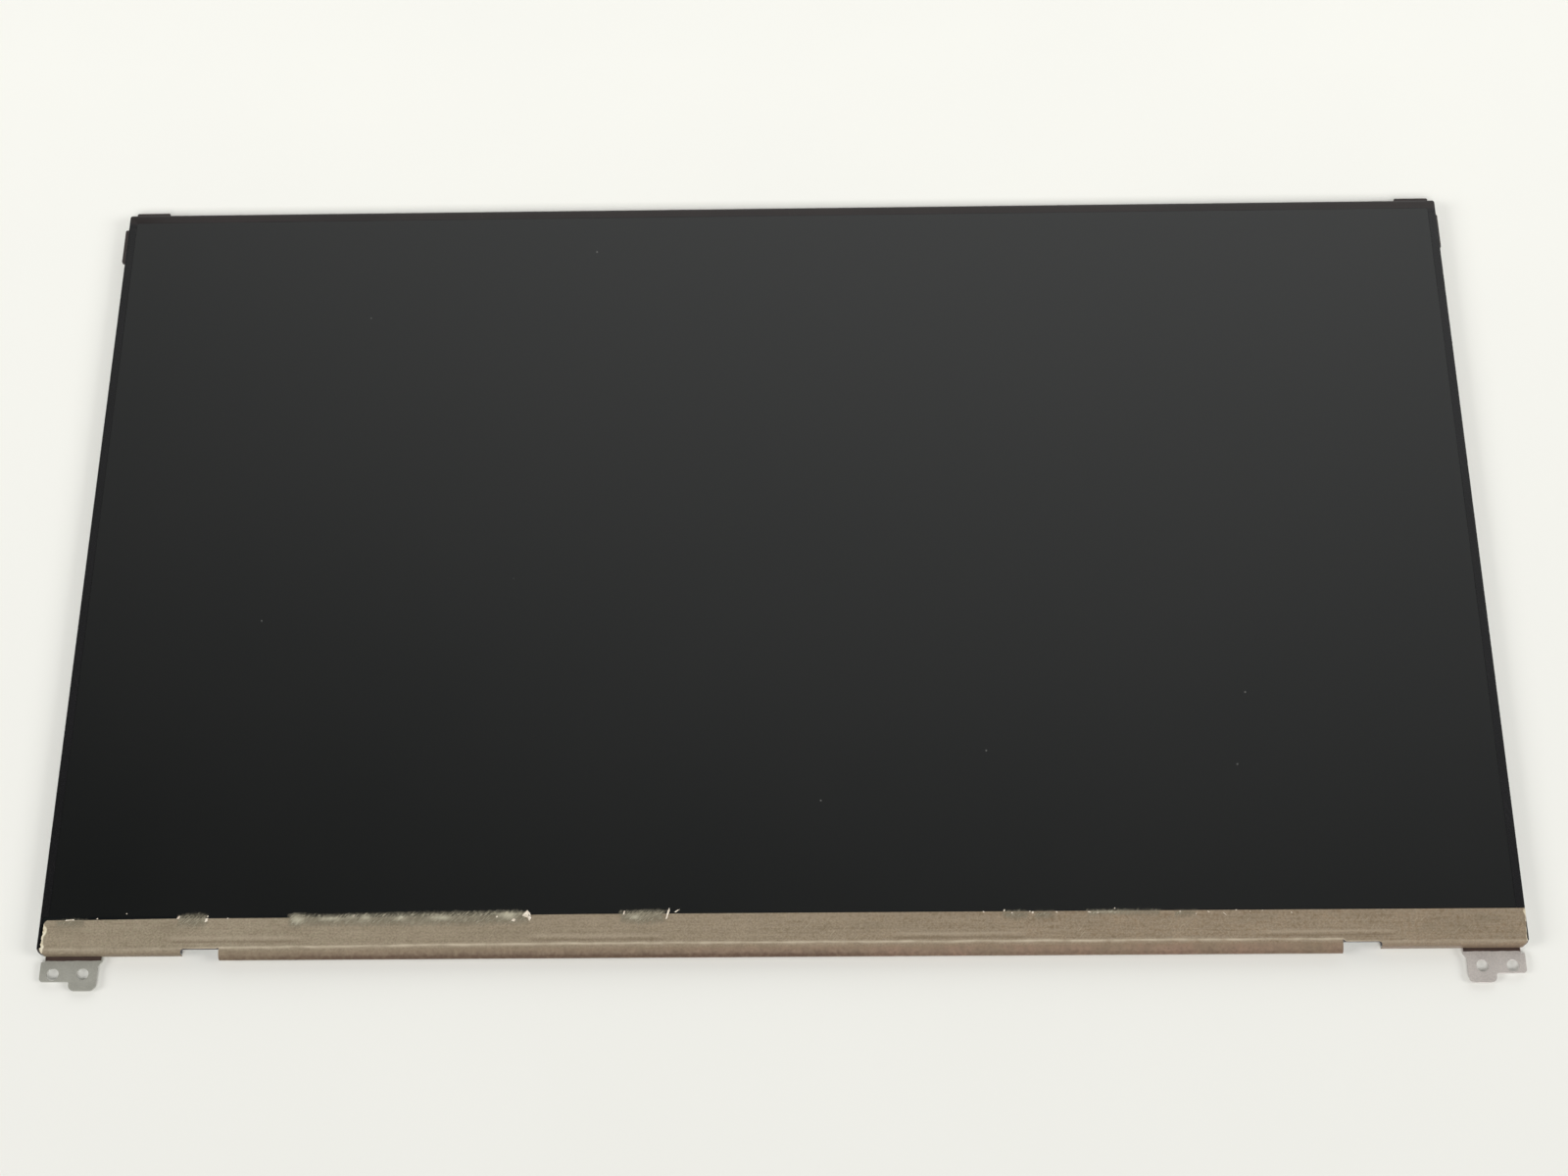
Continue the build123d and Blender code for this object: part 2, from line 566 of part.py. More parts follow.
def inductors():
    """Two square power inductors."""
    size = INDUCTOR_SIZE
    blocks = [on_board(x, PARTS_MIDDLE, size, size, TALL_PART) for x in INDUCTOR_X]
    return Compound([fillet(block.edges().filter_by(Axis.Z), size / 8) for block in blocks])


def beside(x, size, rows, height):
    """Two columns of small parts beside a chip, one on each side of it."""
    parts = []
    for side in (-1, 1):
        column = x + side * (size / 2 + SMALL_LENGTH)
        for i in range(rows):
            y = PARTS_MIDDLE + (i - (rows - 1) / 2) * 2 * SMALL_WIDTH
            parts.append(on_board(column, y, SMALL_LENGTH, SMALL_WIDTH, height))
    return parts


def capacitors():
    """Small ceramic capacitors beside the power, backlight and controller chips."""
    parts = beside(POWER_X, POWER_SIZE, 5, CAPACITOR_HEIGHT)
    parts += beside(BACKLIGHT_X, BACKLIGHT_SIZE, 5, CAPACITOR_HEIGHT)
    return Compound(parts + beside(CONTROLLER_X, CONTROLLER_SIZE, 6, CAPACITOR_HEIGHT))


def resistors():
    """Small chip resistors beside the memory chip and in a row by the socket."""
    parts = beside(MEMORY_X, MEMORY_SIZE, 4, RESISTOR_HEIGHT)
    for i in range(8):
        x = TAIL_X + SOCKET_LENGTH + 2 * SMALL_LENGTH * i
        parts.append(on_board(x, PARTS_MIDDLE, SMALL_WIDTH, SMALL_LENGTH, RESISTOR_HEIGHT))
    return Compound(parts)


def light_bar_socket():
    """Low socket that grips the end of the light bar's tail."""
    body = on_board(TAIL_X, PARTS_LOW + SOCKET_DEPTH / 2, SOCKET_LENGTH, SOCKET_DEPTH, TALL_PART)
    half = TAIL_WIDTH / 2 + FIT
    y1 = PARTS_LOW + TAIL_GRIP + FIT
    return body - plate(TAIL_X - half, TAIL_X + half, BOTTOM, y1, Z_BOARD - STRIP_T - FIT, Z_BOARD)


def connector_shell():
    """Folded steel shell over the cable connector, open at the mouth and the back."""
    x0 = CONNECTOR_X - CONNECTOR_HALF
    x1 = CONNECTOR_X + CONNECTOR_HALF
    back = CONNECTOR_BACK + CONNECTOR_DEPTH / 4
    shell = plate(x0, x1, back, MOUTH, Z_CONNECTOR, Z_BOARD)
    shell = fillet(shell.faces().sort_by(Axis.Z)[0].edges().filter_by(Axis.Y), SHELL_T)
    shell -= plate(x0 + SHELL_T, x1 - SHELL_T, BOTTOM, TOP, Z_CONNECTOR + SHELL_T, Z_BOARD)
    for x in (x0 + CONNECTOR_HALF / 3, CONNECTOR_X, x1 - CONNECTOR_HALF / 3):
        window = plate(x - CONNECTOR_ENDS / 2, x + CONNECTOR_ENDS / 2, back + CONNECTOR_DEPTH / 4,
                       MOUTH - CONNECTOR_DEPTH / 4, Z_CONNECTOR, Z_CONNECTOR + SHELL_T)
        shell -= window
    return shell


def connector_housing():
    """Moulded block of the cable connector, with the tongue that the plug slides over."""
    half = CONNECTOR_HALF - SHELL_T - FIT
    z1 = Z_BOARD - CONTACT_T
    z0 = Z_CONNECTOR + SHELL_T + SLIP
    front = CONNECTOR_BACK + HOUSING_DEPTH
    block = plate(CONNECTOR_X - half, CONNECTOR_X + half, CONNECTOR_BACK, front, z0, z1)
    half -= CONNECTOR_ENDS / 2
    tip = MOUTH - 2 * SHEET_FIT
    return block + plate(CONNECTOR_X - half, CONNECTOR_X + half, front, tip, (z0 + z1) / 2, z1)


def connector_contacts():
    """Flat contacts under the tongue, each with a solder tail behind the housing."""
    contacts = []
    y0 = CONNECTOR_BACK - CONTACT_TAIL
    for i in range(CONNECTOR_PINS):
        x = CONNECTOR_X + (i - (CONNECTOR_PINS - 1) / 2) * CONNECTOR_PITCH
        half = CONTACT_WIDTH / 2
        contacts.append(plate(x - half, x + half, y0, MOUTH - 3 * SHEET_FIT, Z_BOARD - CONTACT_T, Z_BOARD))
    return Compound(contacts)


WRAP = edge_wrap()
BRACKET = right_bracket()
NODES = {
    "rear_cover": rear_cover(),
    "reflector_sheet": sheet(Z_FLOOR, REFLECTOR_T, STRIP_TOP + SHEET_FIT / 2),
    "light_guide": sheet(Z_GUIDE, GUIDE_T, GUIDE_BOTTOM),
    "light_bar_strip": light_bar_strip(),
    "light_bar_lamps": light_bar_lamps(),
    "diffuser_sheet": sheet(Z_DIFFUSER, DIFFUSER_T, GUIDE_BOTTOM + LIP_REACH),
    "lower_prism_sheet": sheet(Z_LOWER_PRISM, PRISM_T, GUIDE_BOTTOM + LIP_REACH),
    "upper_prism_sheet": sheet(Z_UPPER_PRISM, PRISM_T, GUIDE_BOTTOM + LIP_REACH),
    "mould_frame": mould_frame(),
    "cell_bond": cell_bond(),
    "rear_polariser": rear_polariser(),
    "array_glass": array_glass(),
    "colour_filter_glass": colour_filter_glass(),
    "front_polariser": front_polariser(),
    "driver_chips": driver_chips(),
    "panel_flexes": panel_flexes(),
    "fabric_tape": fabric_tape(),
    "top_edge_tape": top_edge_tape(WRAP),
    "left_edge_tape": side_edge_tape(WRAP, -1),
    "right_edge_tape": side_edge_tape(WRAP, 1),
    "left_bracket": mirror(BRACKET, about=Plane.YZ),
    "right_bracket": BRACKET,
    "bracket_pads": bracket_pads(),
    "control_board": control_board(),
    "board_glue": board_glue(),
    "timing_controller": chip(CONTROLLER_X, CONTROLLER_SIZE),
    "memory_chip": chip(MEMORY_X, MEMORY_SIZE),
    "power_chip": chip(POWER_X, POWER_SIZE),
    "backlight_driver": chip(BACKLIGHT_X, BACKLIGHT_SIZE),
    "inductors": inductors(),
    "capacitors": capacitors(),
    "resistors": resistors(),
    "light_bar_socket": light_bar_socket(),
    "connector_shell": connector_shell(),
    "connector_housing": connector_housing(),
    "connector_contacts": connector_contacts(),
}

os.makedirs("parts", exist_ok=True)
for name, shape in NODES.items():
    export_step(shape, f"parts/{name}.step")
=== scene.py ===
import math

import bmesh
import bpy
from mathutils import Matrix, Vector, noise


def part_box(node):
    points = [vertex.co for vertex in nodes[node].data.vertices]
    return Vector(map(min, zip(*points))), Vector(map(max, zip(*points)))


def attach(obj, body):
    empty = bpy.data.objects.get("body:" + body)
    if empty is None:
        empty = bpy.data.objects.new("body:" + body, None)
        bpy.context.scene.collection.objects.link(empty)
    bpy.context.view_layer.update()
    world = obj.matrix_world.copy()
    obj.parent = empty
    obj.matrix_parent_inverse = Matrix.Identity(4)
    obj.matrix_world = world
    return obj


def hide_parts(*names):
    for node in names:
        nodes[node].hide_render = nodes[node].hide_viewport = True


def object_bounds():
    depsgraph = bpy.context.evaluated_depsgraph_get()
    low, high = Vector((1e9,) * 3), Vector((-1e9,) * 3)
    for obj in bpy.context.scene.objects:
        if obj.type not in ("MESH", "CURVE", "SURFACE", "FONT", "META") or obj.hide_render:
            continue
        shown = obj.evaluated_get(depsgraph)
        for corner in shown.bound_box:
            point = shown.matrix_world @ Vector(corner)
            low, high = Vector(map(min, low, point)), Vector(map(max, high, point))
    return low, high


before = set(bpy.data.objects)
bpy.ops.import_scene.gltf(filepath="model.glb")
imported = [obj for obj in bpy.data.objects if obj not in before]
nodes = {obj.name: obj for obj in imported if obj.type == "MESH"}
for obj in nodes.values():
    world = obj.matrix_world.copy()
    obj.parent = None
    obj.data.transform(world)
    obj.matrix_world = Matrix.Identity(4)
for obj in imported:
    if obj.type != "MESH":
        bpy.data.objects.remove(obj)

cad_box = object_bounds()


# Rear cover: a shallow pan pressed from thin aluminium sheet, with a raised seating face and low
# upturned walls. The mill finish keeps its rolling grain, with scuffs and smears from handling.
MM = 0.001


def rgb(red, green, blue):
    """A colour in screen values from 0 to 255, as the linear values that a shader takes."""
    channels = []
    for value in (red / 255, green / 255, blue / 255):
        channels.append(value / 12.92 if value <= 0.04045 else ((value + 0.055) / 1.055) ** 2.4)
    return (*channels, 1.0)


class Bench:
    """The node tree that is being built, and its shader's inputs where it is a material's."""
    tree = inputs = None


def add(kind, sockets=None, **settings):
    """A new node's outputs, with its settings made and each input set to a value or linked to an output."""
    made = Bench.tree.nodes.new(kind)
    for key, value in settings.items():
        setattr(made, key, value)
    for key, value in (sockets or {}).items():
        if isinstance(value, bpy.types.NodeSocket):
            Bench.tree.links.new(value, made.inputs[key])
        else:
            made.inputs[key].default_value = value
    return made.outputs


def calc(operation, first, second=0.0):
    """The result of one sum on two numbers or outputs."""
    return add("ShaderNodeMath", {0: first, 1: second}, operation=operation)[0]


def spread(value, low, high, start=0.0, end=1.0):
    """A value drawn out from start..end to low..high, and held at both ends."""
    sockets = {"Value": value, "From Min": start, "From Max": end, "To Min": low, "To Max": high}
    return add("ShaderNodeMapRange", sockets)[0]


def mix(mask, first, second):
    """The first colour, turning into the second where the mask is 1. Plain ones are in screen values."""
    first, second = (rgb(*colour) if isinstance(colour, tuple) else colour for colour in (first, second))
    return add("ShaderNodeMix", {0: mask, 6: first, 7: second}, data_type="RGBA")[2]


def place():
    """Object coordinates in millimetres."""
    where = add("ShaderNodeTexCoord")["Object"]
    return add("ShaderNodeVectorMath", {0: where, 3: 1 / MM}, operation="SCALE")[0]


def new_effect(name, **inputs):
    """An empty shader group with number inputs and one mask, its given values and its way out."""
    tree = Bench.tree = bpy.data.node_groups.new(name, "ShaderNodeTree")
    for socket, value in inputs.items():
        tree.interface.new_socket(socket, in_out="INPUT", socket_type="NodeSocketFloat").default_value = value
    tree.interface.new_socket("Mask", in_out="OUTPUT", socket_type="NodeSocketFloat")
    return tree, add("NodeGroupInput"), tree.nodes.new("NodeGroupOutput").inputs["Mask"]


def effect(group, **values):
    """The mask that a shared effect gives with these values."""
    return add("ShaderNodeGroup", values, node_tree=group)["Mask"]


def new_material(name, **constants):
    """A material whose tree is built next, with its shader's plain inputs set by name."""
    made = bpy.data.materials.new(name)
    made.use_nodes = True
    Bench.tree = made.node_tree
    Bench.inputs = made.node_tree.nodes["Principled BSDF"].inputs
    for key, value in constants.items():
        Bench.inputs[key.replace("_", " ")].default_value = value
    return made


def feed(name, value):
    """Links a value to one of the shader's inputs."""
    Bench.tree.links.new(value, Bench.inputs[name])


def surface(colour, roughness, height=None, depth=0.01):
    """Puts a colour, a roughness and a relief of a depth in millimetres on the shader."""
    feed("Base Color", colour)
    feed("Roughness", roughness)
    if height is not None:
        feed("Normal", add("ShaderNodeBump", {"Height": height, "Distance": depth * MM})[0])


def dress(finish, *names):
    """Gives CAD nodes a finish."""
    for name in names:
        nodes[name].material_slots[0].material = finish


clouds, given, way_out = new_effect("clouds", Size=10.0, Detail=2.0, Contrast=1.0)
field = add("ShaderNodeTexNoise", {
    "Vector": place(), "Scale": calc("DIVIDE", 1.0, given["Size"]), "Detail": given["Detail"]})
half = calc("DIVIDE", 0.25, given["Contrast"])
low, high = calc("SUBTRACT", 0.5, half), calc("ADD", 0.5, half)
clouds.links.new(spread(field[0], 0.0, 1.0, low, high), way_out)

grain, given, way_out = new_effect("grain", Length=20.0, Width=0.1, Turn=0.0, Start=0.35, End=0.65)
turned = add("ShaderNodeVectorRotate", {"Vector": place(), "Angle": given["Turn"]}, rotation_type="Z_AXIS")
across = calc("DIVIDE", 1.0, given["Width"])
sizes = add("ShaderNodeCombineXYZ", {0: calc("DIVIDE", 1.0, given["Length"]), 1: across, 2: across})
drawn = add("ShaderNodeVectorMath", {0: turned[0], 1: sizes[0]}, operation="MULTIPLY")
field = add("ShaderNodeTexNoise", {"Vector": drawn[0], "Scale": 1.0, "Detail": 2.0})
grain.links.new(spread(field[0], 0.0, 1.0, given["Start"], given["End"]), way_out)


def cloud(size, detail=2.0, contrast=1.0):
    """A mask of soft clouds of a size in millimetres."""
    return effect(clouds, Size=size, Detail=detail, Contrast=contrast)


def streaks(length, width, turn=0.0, start=0.35, end=0.65):
    """A mask of fine streaks of a length and a width in millimetres, turned off the panel's long side."""
    return effect(grain, Length=length, Width=width, Turn=turn, Start=start, End=end)


cover_metal = new_material("cover_metal", Metallic=1.0)
rolled = streaks(70.0, 0.15)
smears = cloud(70.0, 5.0)
scuffs = streaks(11.0, 0.2, turn=0.6, start=0.69, end=0.78)
colour = mix(smears, (186, 188, 188), (197, 198, 197))
colour = mix(scuffs, colour, (220, 220, 217))
rough = calc("ADD", spread(rolled, 0.30, 0.42), spread(smears, 0.04, 0.0))
surface(colour, rough, rolled, 0.003)
dress(cover_metal, "rear_cover")


# Reflector and light guide: a white film under a clear acrylic plate whose back is printed with
# fine dots that scatter the lamps' light. Both lie loose in the moulded frame.
def clouded(name, dark, light, rough, size, detail=3.0, depth=None, **constants):
    """A material that drifts between two colours and two roughnesses, in relief where it has a depth."""
    made = new_material(name, **constants)
    drift = cloud(size, detail)
    relief = (drift, depth) if depth else ()
    surface(mix(drift, dark, light), spread(drift, *rough), *relief)
    return made


reflector_film = clouded("reflector_film", (236, 237, 235), (246, 246, 243), (0.35, 0.5), 3.0, depth=0.004)
dress(reflector_film, "reflector_sheet")

guide_acrylic = new_material("guide_acrylic", Transmission_Weight=0.85, IOR=1.49)
DOT_PITCH = 0.8
cells = add("ShaderNodeTexVoronoi", {"Vector": place(), "Scale": 1 / DOT_PITCH, "Randomness": 0.4})
dots = spread(cells["Distance"], 1.0, 0.0, 0.22, 0.3)
surface(mix(dots, (236, 242, 240), (250, 250, 250)), spread(dots, 0.06, 0.6), dots, 0.004)
dress(guide_acrylic, "light_guide")


# Diffuser and prism films: three thin polyester sheets, one matted and two with fine ridges at
# right angles. They lie on the light guide under the frame's lip.
for name, turn, pale in (("diffuser_sheet", 0.0, 245), ("lower_prism_sheet", 0.0, 228),
                         ("upper_prism_sheet", math.pi / 2, 222)):
    film = new_material(name + "_film", IOR=1.58)
    ridges = streaks(80.0, 0.06, turn=turn)
    haze = cloud(9.0)
    surface(mix(haze, (pale - 8, pale - 6, pale - 6), (pale, pale, pale)),
            spread(ridges, 0.28, 0.45), ridges, 0.01)
    dress(film, name)


# Light bar: a white-masked flex strip with a row of side-lit lamps, whose tail folds round the
# cover's lower edge to a socket. Each lamp is a white resin case with a window of yellow phosphor.
def tint(colour, mask, share, shade):
    """A colour turned part of the way to a shade under a mask."""
    return mix(calc("MULTIPLY", mask, share), colour, shade)


def axes(vector):
    """The three numbers of a vector."""
    return add("ShaderNodeSeparateXYZ", {0: vector})


strip_film = new_material("strip_film")
cloth = cloud(1.6, 3.0)
tracks = streaks(60.0, 0.35, start=0.52, end=0.56)
colour = mix(tracks, (226, 224, 212), (214, 203, 176))
colour = tint(colour, cloth, 0.35, (196, 186, 160))
surface(colour, spread(cloth, 0.42, 0.58), tracks, 0.012)
dress(strip_film, "light_bar_strip")

LAMP_PITCH, LAMP_WINDOW = 5.95, 1.1
lamp_package = new_material("lamp_package")
along = axes(place())[0]
wrapped = add("ShaderNodeMath", {0: along, 1: LAMP_PITCH, 2: 0.0}, operation="WRAP")[0]
from_middle = calc("ABSOLUTE", calc("SUBTRACT", wrapped, LAMP_PITCH / 2))
window = spread(from_middle, 1.0, 0.0, LAMP_WINDOW, LAMP_WINDOW + 0.1)
speckle = cloud(0.12, 2.0)
phosphor = mix(speckle, (226, 196, 66), (240, 216, 104))
surface(mix(window, (238, 237, 230), phosphor), spread(speckle, 0.35, 0.5), speckle, 0.006)
dress(lamp_package, "light_bar_lamps")


# Moulded frame: one dark polycarbonate ring that holds the sheets and the glass, with four locating
# tabs that stand out past the tape at the upper corners. The mould leaves a fine matt grain.
frame_plastic = new_material("frame_plastic")
eroded = cloud(0.22, 3.0)
patches = cloud(6.0, 2.0)
rubbed = streaks(2.5, 0.12, turn=0.9, start=0.66, end=0.76)
colour = mix(patches, (44, 37, 36), (56, 46, 43))
colour = tint(colour, rubbed, 0.4, (112, 98, 92))
surface(colour, spread(eroded, 0.42, 0.62), eroded, 0.012)
dress(frame_plastic, "mould_frame")


# Glass cell: two sheets of thin glass held on the frame's lip by a ring of black tape, with a
# polarising film behind. A black border printed inside the glass hides the frame round the picture.
bond_foam = clouded("cell_bond_foam", (14, 14, 15), (34, 34, 35), (0.7, 0.9), 0.18, depth=0.02)
dress(bond_foam, "cell_bond")
cell_glass = clouded("cell_glass", (16, 18, 19), (24, 27, 27), (0.12, 0.2), 22.0, 2.0, IOR=1.52)
dress(cell_glass, "array_glass", "colour_filter_glass")
rear_film = clouded("rear_film", (58, 60, 66), (74, 75, 80), (0.25, 0.4), 15.0, IOR=1.49)
dress(rear_film, "rear_polariser")


# Screen: the polarising film on the front glass, with a hard matt coating that blurs reflections.
# It is near black with the light off, its cut edge is paler, and it carries a little dust.
specks, given, way_out = new_effect("specks", Spacing=4.0, Size=0.1, Share=0.5)
cells = add("ShaderNodeTexVoronoi", {"Vector": place(), "Scale": calc("DIVIDE", 1.0, given["Spacing"])})
bound = calc("DIVIDE", given["Size"], given["Spacing"])
near = calc("LESS_THAN", cells["Distance"], bound)
chosen = add("ShaderNodeSeparateColor", {0: cells["Color"]})[0]
specks.links.new(calc("MULTIPLY", near, calc("LESS_THAN", chosen, given["Share"])), way_out)

screen_film = new_material("screen_film", IOR=1.65)
matting = cloud(0.16, 2.0)
wiped = cloud(60.0, 3.0)
dust = effect(specks, Spacing=9.0, Size=0.22, Share=0.5)
normal = add("ShaderNodeNewGeometry")["Normal"]
cut_edge = spread(axes(normal)[2], 1.0, 0.0, 0.3, 0.8)
colour = mix(wiped, (7, 9, 8), (10, 11, 10))
colour = tint(colour, dust, 0.3, (150, 150, 145))
colour = mix(cut_edge, colour, (44, 42, 41))
rough = calc("ADD", spread(wiped, 0.23, 0.25), spread(matting, -0.02, 0.02))
surface(colour, rough, matting, 0.0006)
dress(screen_film, "front_polariser")


# Driver chips and panel flexes: four long silicon chips bonded to the glass ledge, and two amber
# polyimide flexes with copper tracks that carry the signals round the lower edge.
dress(clouded("silicon", (58, 60, 68), (84, 86, 94), (0.16, 0.32), 2.4), "driver_chips")

flex_film = new_material("flex_film")
tracks = streaks(40.0, 0.12, turn=math.pi / 2, start=0.48, end=0.54)
amber = cloud(5.0)
colour = mix(amber, (150, 88, 32), (172, 106, 42))
surface(mix(tracks, colour, (196, 132, 74)), spread(tracks, 0.25, 0.36), tracks, 0.01)
dress(flex_film, "panel_flexes")


# Edge tape: thin black polyester tape wrapped over the top and both sides from the glass to the
# back of the cover, with a soft fold at each edge and windows for the frame's tabs.
TAPE_DEPTH, FOLD_R, FOLD_STEPS, PATH_STEP = 0.08, 0.2, 4, 6.0
FOLD_TURNS = [math.pi / 2 * step / FOLD_STEPS for step in range(FOLD_STEPS + 1)]
FOLD = [(FOLD_R * (1 - math.sin(turn)), FOLD_R * (1 - math.cos(turn))) for turn in FOLD_TURNS]
OUTER_SIDE, OUTER_TOP, CORNER_R, CORNER_STEPS = 157.9, 92.85, 0.5, 6
FRONT_SIDE, FRONT_TOP = OUTER_SIDE - 1.8, OUTER_TOP - 2.15
BACK_SIDE, BACK_TOP = OUTER_SIDE - 3.0, OUTER_TOP - 3.0
TAB_Z, TAB_SIDE_Y, TAB_TOP_X = (0.96, 1.81), (80.0, 89.3), (148.45, 156.55)
SEAM, FABRIC_TOP, BRACKET_TOP, TAPE_END = 89.62, -84.8, -81.15, -91.75


def show(name, data):
    """A new object in the scene."""
    made = bpy.data.objects.new(name, data)
    bpy.context.scene.collection.objects.link(made)
    return made


def new_piece(name, points, faces, finish):
    """A mesh from points in millimetres, riding on the panel, with its finish and slot."""
    mesh = bpy.data.meshes.new(name)
    mesh.from_pydata([Vector(point) * MM for point in points], [], faces)
    mesh.materials.append(finish)
    piece = show(name, mesh)
    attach(piece, "root")
    return piece


def settle(piece, sharp=40):
    """Turns a piece and its modifiers into a plain mesh, smooth but for edges past an angle."""
    depsgraph = bpy.context.evaluated_depsgraph_get()
    mesh = bpy.data.meshes.new_from_object(
        piece.evaluated_get(depsgraph), preserve_all_data_layers=True, depsgraph=depsgraph)
    piece.modifiers.clear()
    piece.data = mesh
    mesh.shade_smooth()
    mesh.set_sharp_from_angle(angle=math.radians(sharp))


def welded(mesh, near=1e-7):
    """A working copy of a mesh in which points that coincide are one."""
    work = bmesh.new()
    work.from_mesh(mesh)
    bmesh.ops.remove_doubles(work, verts=work.verts, dist=near)
    return work


def thicken(piece, depth):
    """Gives a sheet its thickness inwards and makes it a plain mesh."""
    work = welded(piece.data)
    work.to_mesh(piece.data)
    work.free()
    solid = piece.modifiers.new("thickness", "SOLIDIFY")
    solid.thickness = depth * MM
    solid.offset = -1.0
    settle(piece)


def edge_tape(name, path, fabric_side):
    """Tape wrapped round a stretch of the outline, given as plan points with their outward sides."""
    low, high = (corner.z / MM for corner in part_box(name))
    rows = []
    for (x, y), (out_x, out_y) in path:
        wobble = 0.03 * noise.noise(Vector((x / 9, y / 9, 1.7)))
        front = (max(-FRONT_SIDE, min(FRONT_SIDE, x)) + wobble * out_x, min(FRONT_TOP, y) + wobble * out_y)
        middle = (max(-fabric_side, min(fabric_side, x)), min(OUTER_TOP - 0.6, y))
        back = (max(-BACK_SIDE, min(BACK_SIDE, x)), min(BACK_TOP, y))
        row = [(*front, high), (*middle, high)]
        row += [(x - out_x * inset, y - out_y * inset, high - drop) for inset, drop in FOLD]
        row += [(x, y, TAB_Z[1]), (x, y, TAB_Z[0])]
        row += [(x - out_x * inset, y - out_y * inset, low + rise) for rise, inset in FOLD]
        rows.append(row + [(*back, low)])
    count = len(rows[0])
    window = FOLD_STEPS + 3
    faces = []
    for i in range(len(rows) - 1):
        x = (path[i][0][0] + path[i + 1][0][0]) / 2
        y = (path[i][0][1] + path[i + 1][0][1]) / 2
        at_tab = TAB_SIDE_Y[0] < y < TAB_SIDE_Y[1] or (y > BACK_TOP and TAB_TOP_X[0] < abs(x) < TAB_TOP_X[1])
        for j in range(count - 1):
            under_fabric = y < FABRIC_TOP and j == 0
            under_bracket = y < BRACKET_TOP and j > window
            if (at_tab and j == window) or under_fabric or under_bracket:
                continue
            faces.append([i * count + j, i * count + j + 1, (i + 1) * count + j + 1, (i + 1) * count + j])
    points = [point for row in rows for point in row]
    piece = new_piece(name + "_wrap", points, faces, edge_black)
    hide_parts(name)
    thicken(piece, TAPE_DEPTH)


def stations(stops, step):
    """Stops along a line with even steps between them."""
    found = [stops[0]]
    for start, end in zip(stops, stops[1:]):
        count = max(1, round(abs(end - start) / step))
        found += [start + (end - start) * (i + 1) / count for i in range(count)]
    return found


edge_black = new_material("edge_black", IOR=1.5)
calendered = cloud(0.3, 2.0)
aged = cloud(16.0, 3.0)
rubs = streaks(7.0, 0.14, turn=1.2, start=0.67, end=0.78)
height_up = axes(place())[1]
brown = spread(height_up, 0.0, 1.0, 90.2, 90.9)
cool = mix(aged, (13, 13, 14), (20, 19, 21))
warm = mix(aged, (30, 24, 23), (38, 31, 29))
colour = mix(brown, cool, warm)
colour = tint(colour, rubs, 0.2, (96, 90, 88))
rough = calc("ADD", spread(brown, 0.24, 0.4), spread(calendered, -0.03, 0.07))
surface(colour, rough, calendered, 0.003)

SIDE_STOPS = [SEAM - 0.02, TAB_SIDE_Y[1], TAB_SIDE_Y[0], BRACKET_TOP, FABRIC_TOP, TAPE_END]
right_path = [((OUTER_SIDE, y), (1, 0)) for y in stations(SIDE_STOPS, PATH_STEP)]
left_path = [((-OUTER_SIDE, y), (-1, 0)) for y in reversed(stations(SIDE_STOPS, PATH_STEP))]
edge_tape("right_edge_tape", right_path, OUTER_SIDE - 0.35)
edge_tape("left_edge_tape", left_path, OUTER_SIDE - 0.5)

half_top = [((OUTER_SIDE, y), (1, 0)) for y in (OUTER_TOP - CORNER_R, 91.0, SEAM + 0.03)]
for step in range(CORNER_STEPS):
    turn = math.pi / 2 * (step + 1) / CORNER_STEPS
    out = (math.cos(turn), math.sin(turn))
    half_top.insert(0, ((OUTER_SIDE - CORNER_R * (1 - out[0]), OUTER_TOP - CORNER_R * (1 - out[1])), out))
TOP_STOPS = [0.0, *TAB_TOP_X, OUTER_SIDE - CORNER_R]
half_top = [((x, OUTER_TOP), (0, 1)) for x in stations(TOP_STOPS, PATH_STEP)] + half_top
left_half = [((-x, y), (-out_x, out_y)) for (x, y), (out_x, out_y) in reversed(half_top[1:])]
edge_tape("top_edge_tape", left_half + half_top, OUTER_SIDE - 0.5)


# Fabric tape: woven conductive tape glued from the front glass round the lower edge. Its middle
# stands off in a round fold over the flexes, and past two relief notches it is folded tight.
# The chips under it show as long soft ridges, with painted highlights and shade along them. Its crest
# carries a painted highlight, its turned-down face painted shade, and its left end is frayed.
FABRIC_DEPTH = 0.12
(fabric_left, fabric_reach, fabric_back), (_, fabric_top, fabric_front) = (
    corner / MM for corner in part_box("fabric_tape"))
fabric_left, fabric_right = fabric_left - 0.3, OUTER_SIDE + 0.02
LOWER_EDGE, MIDDLE_BEND, SIDE_BEND, BACK_END, BACK_RIM = -92.85, -91.38, -91.93, -86.85, 0.08
MIDDLE_END, NOTCH_END, NOTCH_R, BRACKET_END = 119.0, 127.2, 0.7, 144.25
MIDDLE_Z, MIDDLE_R, SIDE_R, RIM_R = 1.045, 1.515, 0.92, 0.12
CHIP_CENTRES, CHIP_HALF, RIDGE_Y, VALLEY_Y = (-116.0, -38.7, 38.7, 116.0), 14.0, -89.6, -90.4
GLASS_END, SAG, LEFT_DROP, NOTCH_TURN, WALL_FOOT = -86.3, 0.085, 0.35, 0.65, 0.45
STEP_UP, STEP_DOWN, THREAD_PITCH = 0.09, 0.12, 0.16
END_R, CUT_R, FRAY, THREAD_END, LEAN_LEFT, LEAN_RIGHT = 1.1, 0.9, 3.0, 0.6, 0.36, 0.28
FRONT_ROWS, WALL_ROWS, COARSE, FINE = 30, 12, 0.7, 0.1
